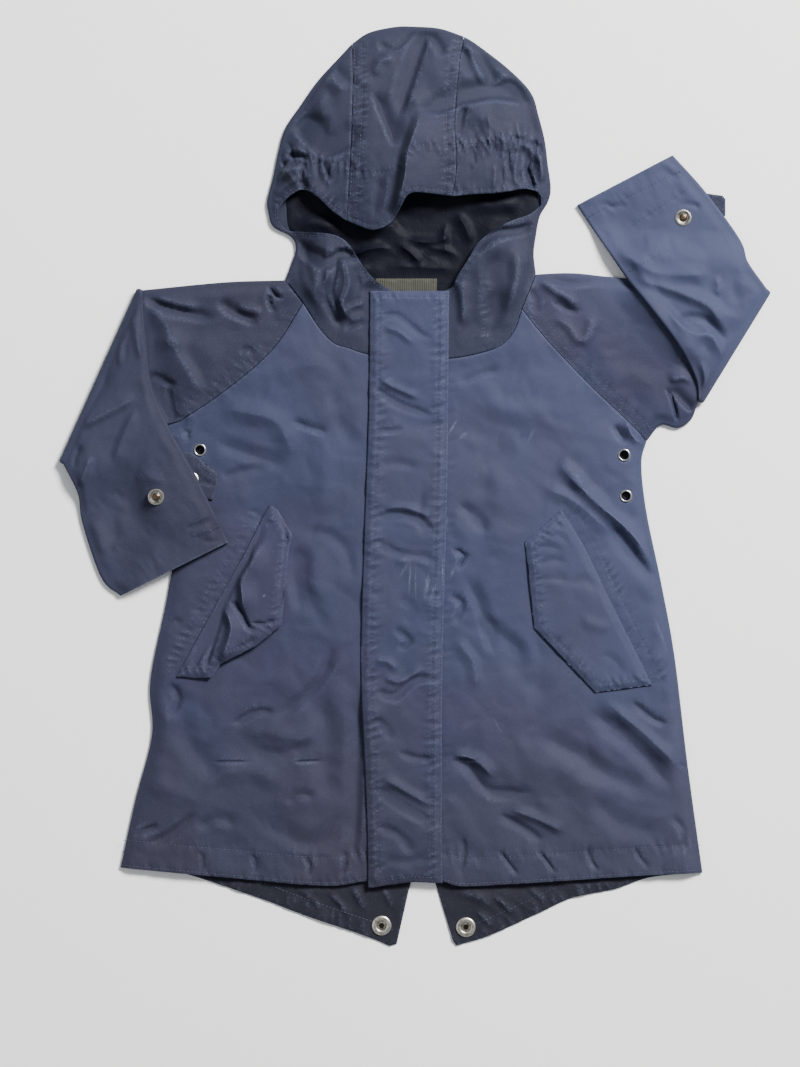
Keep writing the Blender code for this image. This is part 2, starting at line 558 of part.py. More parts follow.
def sleeve_layout(name):
    """Where a sleeve's rings lie: upper arm (front and back layer), elbow line and forearm."""
    side = name.split("_")[1]
    spec = SLEEVES[name]
    ends = {}
    for layer, mid in (("front", "_"), ("back", "_back_")):
        chain = np.vstack([seam["shoulder" + mid + side], seam["raglan" + mid + side][1:]])
        ends[layer] = chain
    along = np.cumsum(np.linalg.norm(np.diff(ends["front"], axis=0), axis=1))
    shares = np.concatenate([[0.0], along / along[-1]])
    high, low = np.array(spec["crease"])
    outward = np.array([-(low - high)[1], (low - high)[0]])
    outward /= np.linalg.norm(outward)
    outward *= np.sign(outward @ (high - ends["front"].mean(axis=0)))
    high, low = high - outward * ELBOW_AXIS, low - outward * ELBOW_AXIS
    elbow = high + shares[:, None] * (low - high)
    cuff_high, cuff_low = np.array(spec["fore_top"][-1]), np.array(spec["fore_under"][-1])
    cuff = cuff_high + shares[:, None] * (cuff_low - cuff_high)
    top = spec["top"][:-1] + [tuple(high)]
    under = spec["under"][:-1] + [tuple(low)]
    fore_top = [tuple(high)] + spec["fore_top"][1:]
    fore_under = [tuple(low)] + spec["fore_under"][1:]
    upper = {layer: patch(ring, elbow, top, under, UPPER_RINGS, shares) for layer, ring in ends.items()}
    fore = patch(elbow, cuff, fore_top, fore_under, FORE_RINGS, shares)
    return {"upper": upper, "fore": fore, "outward": outward}


def grid_edge(grid):
    """The outline of a grid of points, counter-clockwise."""
    rows = list(grid)
    loop = np.vstack([rows[0], [row[-1] for row in rows[1:-1]], rows[-1][::-1],
                      [row[0] for row in rows[-2:0:-1]]])
    return loop if signed_area(loop) > 0 else loop[::-1]


def forearm_lift(points, name):
    """Height of a forearm's underside over the surface."""
    covered = [grid_edge(layouts[name]["upper"]["front"])] + list(fronts.values())
    away = np.min([outside_by(points, loop) for loop in covered], axis=0)
    over = 1.0 - smooth((away - SPREAD_START) / SPREAD_REACH)
    x, y, radius, height = TAB_LIFTS[name]
    share = np.linalg.norm(points - np.array([x, y]), axis=1) / radius
    near = smooth(TAB_LIFT_STEEPNESS * (1.0 - share))
    return (2 * ELBOW_AXIS - FRONT_TOP) * over + height * near


def clear_of_studs(points):
    """0 under the cuff studs and 1 away from them, so that no fold meets a stud."""
    clear = np.ones(len(points))
    for _, _, x, y in CUFF_STUDS:
        away = np.linalg.norm(points - np.array([x, y]), axis=1)
        clear *= smooth((away - STUD_RADIUS - FREE_EDGE_MARGIN) / RELIEF_RAMP)
    return clear


def ring_points(front, back):
    """One flattened ring as (x, y) base points, roll vectors and heights of both skins."""
    front, back = front.copy(), back.copy()
    rolls = []
    for layer in (front, back):
        for end, beyond in ((0, 1), (-1, -2)):
            inward = layer[beyond] - layer[end]
            inward *= ROLL / np.linalg.norm(inward)
            layer[end] += inward
            rolls.append(-inward)
    front_high, front_low, back_high, back_low = rolls
    inner_share = (ROLL - WALL) / ROLL
    outer, inner = [], []

    def add_layer(points, outer_z, inner_z):
        outer.extend((x, y, outer_z) for x, y in points)
        inner.extend((x, y, inner_z) for x, y in points)

    def add_roll(start, start_roll, end, end_roll, sense):
        for k in range(1, ROLL_STEPS):
            share = k / ROLL_STEPS
            angle = sense * (math.pi / 2 - math.pi * share)
            base = (1 - share) * start + share * end
            roll = ((1 - share) * start_roll + share * end_roll) * math.cos(angle)
            outer.append((*(base + roll), ROLL * (1 + math.sin(angle))))
            inner.append((*(base + roll * inner_share), ROLL + (ROLL - WALL) * math.sin(angle)))

    add_layer(front, FRONT_TOP, FRONT_UNDER)
    add_roll(front[-1], front_low, back[-1], back_low, 1)
    add_layer(back[::-1], 0.0, WALL)
    add_roll(back[0], back_high, front[0], front_high, -1)
    return np.array(outer), np.array(inner)


def add_sleeve(name):
    """A flattened tube from the raglan seam to the cuff, rolled over at the elbow."""
    side_sign = 1.0 if name.endswith("left") else -1.0
    layout = layouts[name]
    forearm = grid_edge(layout["fore"])
    rings = []
    for row, (front, back) in enumerate(zip(layout["upper"]["front"], layout["upper"]["back"])):
        if row == 0:
            front = beside(front, side_sign * SLEEVE_SET_IN)
            back = beside(back, side_sign * SLEEVE_SET_IN)
        skins = []
        for skin in ring_points(front, back):
            flat = skin[:, :2]
            clear = smooth((outside_by(flat, forearm) - FREE_EDGE_MARGIN) / RELIEF_RAMP)
            clear *= smooth(row / 2)
            rise = relief(flat, UPPER_FOLDS) * clear * skin[:, 2] / FRONT_TOP
            skins.append(np.column_stack([flat, skin[:, 2] + rise]))
        rings.append(skins)
    elbow = layout["fore"][0]
    for step in range(1, ELBOW_STEPS):
        turn = math.pi * step / ELBOW_STEPS
        skins = []
        for skin in ring_points(elbow, elbow):
            reach = ELBOW_AXIS - skin[:, 2]
            flat = skin[:, :2] + reach[:, None] * math.sin(turn) * layout["outward"]
            skins.append(np.column_stack([flat, ELBOW_AXIS - reach * math.cos(turn)]))
        rings.append(skins)
    for row, line in enumerate(layout["fore"]):
        skins = []
        for skin in ring_points(line, line):
            flat = skin[:, :2]
            over = FRONT_TOP - skin[:, 2]
            rise = relief(flat, FORE_FOLDS) * clear_of_studs(flat) * over / FRONT_TOP
            lift = forearm_lift(flat, name) if row else 2 * ELBOW_AXIS - FRONT_TOP
            skins.append(np.column_stack([flat, lift + over + rise * smooth(row / 2)]))
        rings.append(skins)
    sheet = Sheet()
    around = len(rings[0][0])
    for outer, inner in rings:
        sheet.add(outer, inner)
    for row in range(len(rings) - 1):
        for i in range(around):
            j = (i + 1) % around
            a, b = row * around + i, row * around + j
            quad = (a, b, b + around, a + around)
            sheet.faces.append(quad if side_sign > 0 else quad[::-1])
    return add_cloth(name, sheet)


def beside(points, distance):
    """A curve moved to its left by a distance."""
    along = np.diff(points, axis=0)
    along /= np.linalg.norm(along, axis=1)[:, None]
    normals = np.column_stack([-along[:, 1], along[:, 0]])
    before, after = np.vstack([normals[:1], normals]), np.vstack([normals, normals[-1:]])
    middle = before + after
    return points + distance * 2 * middle / np.sum(middle ** 2, axis=1)[:, None]


# ---------------------------------------------------------------- body
def front_top(points):
    """Upper face of the front layer."""
    sides = np.minimum(distance_to(points, seam["side_right"]), distance_to(points, seam["side_left"]))
    under = SEAM_UNDER + (FRONT_UNDER - SEAM_UNDER) * smooth(sides / SIDE_RAMP)
    covers = list(overlays.values()) + [grid_edge(layouts["sleeve_right"]["fore"])]
    clear = np.ones(len(points))
    for loop in covers:
        clear *= smooth((outside_by(points, loop) - FREE_EDGE_MARGIN) / RELIEF_RAMP)
    for _, x, y in EYELETS:
        away = np.linalg.norm(points - np.array([x, y]), axis=1)
        clear *= smooth((away - EYELET_FLANGE - FREE_EDGE_MARGIN) / RELIEF_RAMP)
    for name in ("raglan_right", "raglan_left", "neck_right", "neck_left"):
        clear *= smooth(distance_to(points, seam[name]) / RELIEF_RAMP)
    return under + WALL + relief(points, FRONT_FOLDS) * clear * smooth(sides / RELIEF_RAMP)


def circle(x, y, radius, segments):
    """Points round a circle, counter-clockwise."""
    turns = [2 * math.pi * k / segments for k in range(segments)]
    return np.array([(x + radius * math.cos(t), y + radius * math.sin(t)) for t in turns])


def add_body():
    """The back, the two fronts and the closure strip between them."""
    back = loop_of(seam["side_right"], seam["tail_right"], seam["slit"], seam["tail_left"][::-1],
                   seam["side_left"][::-1], seam["raglan_back_left"][::-1],
                   seam["neck_back_left"][::-1], seam["neck_back_centre"][::-1],
                   seam["neck_back_right"][::-1], seam["raglan_back_right"])
    add_flat("back", inset(back, SEAM_GAP / 2), lambda points: np.full(len(points), WALL), BACK_LATTICE)
    for name, loop in fronts.items():
        holes = [circle(x, y, EYELET_HOLE, HOLE_SEGMENTS) for _, x, y in EYELETS
                 if inside(np.array([(x, y)]), loop)[0]]
        marks = [fold_marks(FRONT_FOLDS, BODY_LATTICE)]
        marks += [inset(cover, -FREE_EDGE_MARGIN) for cover in overlays.values()]
        add_flat(name, inset(loop, SEAM_GAP / 2), front_top, BODY_LATTICE, holes=holes,
                 marks=np.vstack(marks))
    low, high = HEM_RIGHT[-1][1], PLACKET_TOP[0][1]
    corners = [(CENTRE_EDGE_RIGHT, high), (CENTRE_EDGE_RIGHT, low), (CENTRE_EDGE_LEFT, low),
               (CENTRE_EDGE_LEFT, high), (CENTRE_EDGE_RIGHT, high)]
    strip = inset(straight(corners, EDGE_STEP)[:-1], SEAM_GAP / 2)
    add_flat("zip_strip", strip, lambda points: np.full(len(points), FRONT_TOP),
             TRIM_LATTICE, key="zip")


def add_overlays():
    """What lies on the fronts, and the label inside the neck."""
    def placket_top(points):
        return ON_TOP + WALL + relief(points, PLACKET_FOLDS)

    def flat_top(points):
        return np.full(len(points), ON_TOP + WALL)

    def lifted_top(points):
        hinge = smooth(distance_to(points, curve(FLAP_RIGHT_SEAM, EDGE_STEP)) / SIDE_RAMP)
        return ON_TOP + WALL + relief(points, FLAP_FOLDS) * hinge

    add_flat("placket", overlays["placket"], placket_top, TRIM_LATTICE,
             marks=fold_marks(PLACKET_FOLDS, TRIM_LATTICE))
    add_flat("pocket_flap_left", overlays["pocket_flap_left"], flat_top, TRIM_LATTICE)
    add_flat("pocket_flap_right", overlays["pocket_flap_right"], lifted_top, TRIM_LATTICE / 2,
             marks=fold_marks(FLAP_FOLDS, TRIM_LATTICE / 2))
    tabs = (("cuff_tab_right", TAB_RIGHT, ON_TOP), ("cuff_tab_left", TAB_LEFT, 0.0))
    for name, corners, under in tabs:
        add_flat(name, straight(corners, TRIM_LATTICE)[:-1],
                 lambda points, top=under + TAB_WALL: np.full(len(points), top),
                 TRIM_LATTICE, wall=TAB_WALL)
    add_flat("neck_label", straight(LABEL, TRIM_LATTICE)[:-1],
             lambda points: np.full(len(points), SEAM_UNDER + LABEL_WALL),
             TRIM_LATTICE, key="label", wall=LABEL_WALL)


# ---------------------------------------------------------------- hood
def hood_top(points):
    """Upper face of the hood's front layer: low at its seams, rims and under the placket."""
    rise = relief(points, HOOD_FOLDS)
    for x, y, spread_x, spread_y, height in HOOD_RISES:
        across, along = (points[:, 0] - x) / spread_x, (points[:, 1] - y) / spread_y
        rise += height * np.exp(-across ** 2 - along ** 2)
    rims = np.min([distance_to(points, seam[name]) for name in ("rim_right", "rim_left", "crown")], axis=0)
    necks = np.min([distance_to(points, seam[name]) for name in
                    ("neck_right", "neck_left", "shoulder_right", "shoulder_left")], axis=0)
    placket = outside_by(points, overlays["placket"])
    clear = smooth((rims - ROLL - RIM_MARGIN) / HOOD_RIM_RAMP) * smooth(necks / HOOD_NECK_RAMP)
    clear *= smooth((placket - FREE_EDGE_MARGIN) / RELIEF_RAMP)
    return FRONT_TOP + np.maximum(rise, 0.0) * clear


def add_rolled(name, front_parts, back_parts, fold):
    """A front and a back layer joined by a rolled fold along one shared curve."""
    sheet = Sheet()
    rows = []
    rolls = []
    for parts, lattice in ((front_parts, HOOD_LATTICE), (back_parts, BACK_LATTICE)):
        loop = loop_of(*parts)
        sizes = [ROLL if part is fold else SEAM_GAP / 2 for part in parts]
        amounts = np.repeat(sizes, [len(part) - 1 for part in parts])
        flush = np.repeat([0.0 if part is fold else SEAM_GAP / 2 for part in parts],
                          [len(part) - 1 for part in parts])
        base = inset(loop, amounts)
        before = [len(part) - 1 for part in parts][:[part is fold for part in parts].index(True)]
        where = [(sum(before) + i) % len(loop) for i in range(len(fold))]
        front = parts is front_parts
        points, faces = fill(base, lattice, marks=fold_marks(HOOD_FOLDS, HOOD_LATTICE) if front else ())
        if front:
            heights = hood_top(points)
            heights[where] = FRONT_TOP
            first = sheet.add(at_height(points, heights), at_height(points, heights - WALL))
            sheet.faces += [tuple(face + first) for face in faces]
        else:
            first = sheet.add(at_height(points, 0.0), at_height(points, WALL))
            sheet.faces += [tuple(face[::-1] + first) for face in faces]
        rows.append([first + i for i in where])
        rolls.append((base[where], (inset(loop, flush) - base)[where]))
    (front_base, front_roll), (back_base, back_roll) = rolls
    inner_share = (ROLL - WALL) / ROLL
    chains = [rows[0]]
    for k in range(1, ROLL_STEPS):
        share = k / ROLL_STEPS
        angle = math.pi / 2 - math.pi * share
        base = (1 - share) * front_base + share * back_base
        roll = ((1 - share) * front_roll + share * back_roll) * math.cos(angle)
        first = sheet.add(at_height(base + roll, ROLL * (1 + math.sin(angle))),
                          at_height(base + roll * inner_share, ROLL + (ROLL - WALL) * math.sin(angle)))
        chains.append(list(range(first, first + len(fold))))
    chains.append(rows[1])
    for upper, lower in zip(chains, chains[1:]):
        for i in range(len(fold) - 1):
            sheet.faces.append((upper[i + 1], upper[i], lower[i], lower[i + 1]))
    sheet.faces = [tuple(int(corner) for corner in face) for face in sheet.faces]
    return add_cloth(name, sheet)


def add_hood():
    """Two sides and a centre strip, each rolled over at the hood's edge."""
    s = seam
    stand_right = centre_edge(CENTRE_EDGE_RIGHT, NECK_RIGHT[-1][1], COLLAR_RIGHT[-1][1])
    stand_left = centre_edge(CENTRE_EDGE_LEFT, COLLAR_LEFT[-1][1], NECK_LEFT[-1][1])
    add_rolled("hood_side_right",
               [s["rim_right"], s["shoulder_right"], s["neck_right"], stand_right,
                s["collar_right"][::-1], s["brim_right"], s["hood_seam_right"][::-1]],
               [s["rim_right"], s["shoulder_back_right"], s["neck_back_right"],
                s["hood_back_seam_right"][::-1]],
               s["rim_right"])
    rim_up = s["rim_left"][::-1]
    add_rolled("hood_side_left",
               [rim_up, s["hood_seam_left"], s["brim_left"], s["collar_left"], stand_left,
                s["neck_left"][::-1], s["shoulder_left"][::-1]],
               [rim_up, s["hood_back_seam_left"], s["neck_back_left"], s["shoulder_back_left"][::-1]],
               rim_up)
    crown = s["crown"][::-1]
    add_rolled("hood_centre",
               [crown, s["hood_seam_right"], s["brim_centre"], s["hood_seam_left"][::-1]],
               [crown, s["hood_back_seam_right"], s["neck_back_centre"], s["hood_back_seam_left"][::-1]],
               crown)


# ---------------------------------------------------------------- hardware
def add_turned(name, x, y, z, profile, key):
    """A round piece turned from (radius, height) points listed up its outside."""
    points, faces, rings = [], [], []
    for radius, height in profile:
        first = len(points)
        if radius == 0:
            points.append((x, y, z + height))
            rings.append([first] * ROUND_SEGMENTS)
        else:
            points.extend((px, py, z + height) for px, py in circle(x, y, radius, ROUND_SEGMENTS))
            rings.append(list(range(first, first + ROUND_SEGMENTS)))
    pairs = list(zip(rings, rings[1:]))
    if profile[0][0] > 0:
        pairs.append((rings[-1], rings[0]))
    for lower, upper in pairs:
        for i in range(ROUND_SEGMENTS):
            j = (i + 1) % ROUND_SEGMENTS
            corners = [lower[i], lower[j], upper[j], upper[i]]
            face = tuple(dict.fromkeys(corners))
            if len(face) > 2:
                faces.append(face)
    return add_object(name, points, faces, key)


def add_hardware():
    """Eyelets, cuff studs, the tab's snap and the snap sockets on the fishtail."""
    for name, x, y in EYELETS:
        add_turned(name, x, y, ON_TOP, EYELET_PROFILE, "eyelet")
    for name, sleeve, x, y in CUFF_STUDS:
        lift = forearm_lift(circle(x, y, STUD_RADIUS, HOLE_SEGMENTS), sleeve).max()
        add_turned(name, x, y, lift + FRONT_TOP + STUD_GAP, STUD_PROFILE, "snap")
    name, x, y = TAB_SNAP
    add_turned(name, x, y, ON_TOP + TAB_WALL + SEAM_GAP, TAB_SNAP_PROFILE, "snap")
    for name, x, y in TAIL_SNAPS:
        add_turned(name, x, y, SEAM_UNDER, TAIL_SNAP_PROFILE, "snap")


for old in list(bpy.data.objects):
    bpy.data.objects.remove(old, do_unlink=True)
garment = bpy.data.objects.new("parka", None)
bpy.context.scene.collection.objects.link(garment)
seam = sample_seams()
fronts = front_loops()
overlays = overlay_loops()
layouts = {name: sleeve_layout(name) for name in SLEEVES}
add_body()
add_hood()
for sleeve_name in SLEEVES:
    add_sleeve(sleeve_name)
add_overlays()
add_hardware()
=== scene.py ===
"""The looks of a child's light hooded parka that lies flat on its back, sleeves folded at the elbow.

Tables are millimetres in the garment's own frame: +X to the wearer's left, +Y to the hood, +Z up from
the surface. Each cloth piece is a thin shell on its solid's form, with its listed creases laid on.
"""

import math

import bpy
import numpy as np
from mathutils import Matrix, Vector, kdtree
from mathutils.geometry import delaunay_2d_cdt


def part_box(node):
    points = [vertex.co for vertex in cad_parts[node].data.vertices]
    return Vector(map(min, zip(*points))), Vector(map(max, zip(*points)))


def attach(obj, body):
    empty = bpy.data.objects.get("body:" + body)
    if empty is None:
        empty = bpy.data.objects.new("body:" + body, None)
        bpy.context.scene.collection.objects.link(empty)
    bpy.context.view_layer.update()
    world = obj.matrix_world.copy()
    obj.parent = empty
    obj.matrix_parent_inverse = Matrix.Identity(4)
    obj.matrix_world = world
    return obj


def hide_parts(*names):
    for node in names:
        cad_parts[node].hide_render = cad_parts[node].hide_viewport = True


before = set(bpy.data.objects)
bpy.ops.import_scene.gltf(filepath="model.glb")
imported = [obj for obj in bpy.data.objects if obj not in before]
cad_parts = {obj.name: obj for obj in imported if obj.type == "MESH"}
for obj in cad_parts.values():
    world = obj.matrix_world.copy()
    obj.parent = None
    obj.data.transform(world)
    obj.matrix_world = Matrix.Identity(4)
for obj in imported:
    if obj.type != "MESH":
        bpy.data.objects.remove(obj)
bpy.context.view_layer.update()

# ---------------------------------------------------------------- sizes, mm
MM = 0.001
CENTRE = np.array([0.0, 0.3, 0.0])  # the outlines' middle

# Layers, from the surface up
SEAM_GAP = 0.3
SOLID_WALL = 1.2  # wall of the solids
CLOTH_WALL = 0.9  # wall of these shells
TAB_WALL = 1.0
LABEL_WALL = 0.7
LINING_WALL = 0.4
FRONT_UNDER = 2.8
FRONT_TOP = FRONT_UNDER + SOLID_WALL
SEAM_UNDER = SOLID_WALL + SEAM_GAP
ON_TOP = FRONT_TOP + SEAM_GAP
ROLL = FRONT_TOP / 2  # radius of a rolled fold
ELBOW_AXIS = 4.2  # height of the line that a sleeve folds over

# How finely the shells are divided
EDGE_STEP = 2.1
COARSE = 9.0  # step of the outlines that are for distances only
CURVE_SAMPLES = 24
BODY_LATTICE = 2.0
FINE_LATTICE = 1.8
TAB_LATTICE = 1.7
BACK_LATTICE = 9.0
LINING_LATTICE = 2.8
ROLL_STEPS = 8
ELBOW_STEPS = 8
UPPER_RINGS = 60
FORE_RINGS = 108
CHUNK = 1500  # points worked out at once
MITRE_LEAST = 0.15

# Edges, and how far the relief stays clear of what lies near it
EDGE_ROLL = 0.45  # how far a cut edge turns down
EDGE_ROW = 0.8  # width of that turned edge
ROLL_RAMP = 14.0  # a ring's points make room for its rolls within this distance
TRIM = 6.0  # a hood piece's other curves have no points this close to their ends
SIDE_RAMP = 8.0  # the fronts come down to the back within this distance of their sides
COVER_MARGIN = 1.0
COVER_RAMP = 8.0
HARDWARE_CLEAR = 6.0
HARDWARE_REACH = 9.0
EYELET_HOLE = 3.9
CORE_MARK = -2.0  # written on the vertices of a stud's post

# Heights of the cloth over its pressed form
LOFT = 1.8
FORE_LOFT = 1.2
FRONT_LEAST = 2.5  # the fronts stay over the back
LAYER_LEAST = -1.8  # deepest trough of a sleeve's upper layer
OVERLAY_LOFT = 1.6  # placket and flaps stand this far off the fronts within their edges
OVERLAY_RAMP = 6.0
SPREAD_START = 12.0  # a forearm sinks to the surface from this far outside the body
SPREAD_REACH = 28.0
TAB_LIFT_STEEPNESS = 2.6
HOOD_RIM_RAMP = 24.0
HOOD_FOLD_RAMP = 5.0
HOOD_NECK_RAMP = 14.0
HOOD_LEAST = 2.4  # the hood's front layer stays over its back

# Broad waves that every layer of the body shares: height, size, seed, shift.
SWELL_WAVES = ((1.6, 74.0, 3, 0.0), (0.8, 41.0, 4, 9.0))
SWELL_RAMP = 14.0  # the waves fade within this distance of a side, a rim or an elbow
# Crumpling: sizes and heights of its lumps, and how far and how broadly they are pushed about.
CRUMPLE_LUMPS = ((36.0, 1.5), (23.0, -0.9), (14.0, 0.3), (8.5, 0.1))
CRUMPLE_PUSH = 7.0
CRUMPLE_PUSH_SIZE = 37.0
CRUMPLE_LEVEL = 0.32
CRUMPLE_ROUND = 0.4
RIDGE_SOFT = 0.002  # rounds the tops of crisp ridges
NOISE_CELLS = 64
NOISE_GAIN = 1.5

# Folds, creases and the puckers of sewn lines
FOLD_STEP = 6.0
FOLD_ENDS = 4.0  # how steeply a fold rises from its ends
CREASE_ENDS = 3.2
PUCKER_SPAN = 2.4  # puckers are worked out this many reaches from their line
PUCKER_SLANT = 0.25
PUCKER_STRETCH = 0.22
PUCKER_WAVES = 0.5
PUCKER_LEVEL = 0.55
PUCKER_RIDGES = 1.7
PUCKER_RIDGE_SIZE = 0.8
RIDGE_SEED = 50
GROOVE_DEPTH = 0.22
GROOVE_WIDTH = 1.1

# Relief of the single pieces
RELIEF_RAMP = 9.0  # creases fade within this distance of an open end
OVERLAY_PUCKERS = 1.5
OVERLAY_LEAST = 0.15
FLAP_LIFT = 3.6  # the right flap is folded back and stands up from its seam
FLAP_LIFT_RAMP = 34.0
HOOD_RELIEF = 1.4
HOOD_DEEPEST = -4.6
TAB_STAND = 0.6
TAB_DEEPEST = -0.9
LOW_TAB_STAND = 0.4
LOW_TAB_DEEPEST = -0.3
TAIL_RELIEF = 0.7
LINING_STAND = 0.35
LINING_RELIEF = 2.0
LINING_START = 157.0  # the lining lies flat below this, under the collar
LINING_RAMP = 7.0
LABEL_STAND = 1.6
LABEL_RELIEF = 0.3
SEEDS = {"body": 20, "body_sewn": 100, "placket": 300, "pocket_flap_left": 400, "pocket_flap_right": 500,
         "hood": 600, "hood_sewn": 640, "sleeve_right": 700, "sleeve_left": 740, "tail": 800,
         "tail_sewn": 820, "cuff_tab_right": 860, "cuff_tab_left": 870, "lining": 900, "label": 77}

# Rows of vertices along folds and seams
MARK_CRISP = 0.4  # folds at least this crisp get their own rows of vertices
MARK_STEP = 1.8
MARK_ASIDE = 1.2
MARK_APART = 0.9
MARK_CLEAR = 0.4  # marks keep this far from the edges
SEWN_STEP = 1.7
STITCHED_ROWS = (0.0, 1.1, -1.1, 2.6, -2.6, 4.3, -4.3)
PLAIN_ROWS = (0.0, 1.7, -1.7)
LATTICE_CLEAR = 0.62  # share of the spacing that lattice points keep from all others
TAIL_MARKS = (np.arange(-215.0, 212.0, 2.6), np.arange(-344.0, -284.0, 2.4))

# Threads
STITCH_PITCH = 2.9
STITCH_LENGTH = 2.3
THREAD_RADIUS = 0.2
STITCH_SAMPLE = 0.5
STITCH_START = 0.3
STITCH_BREAK = 2.0  # a covered stretch longer than this ends a run of stitches
STITCH_STATIONS = (0.0, 0.22, 0.78, 1.0)  # along one thread
STITCH_SINK = 0.1
STITCH_LEAST = 12  # samples

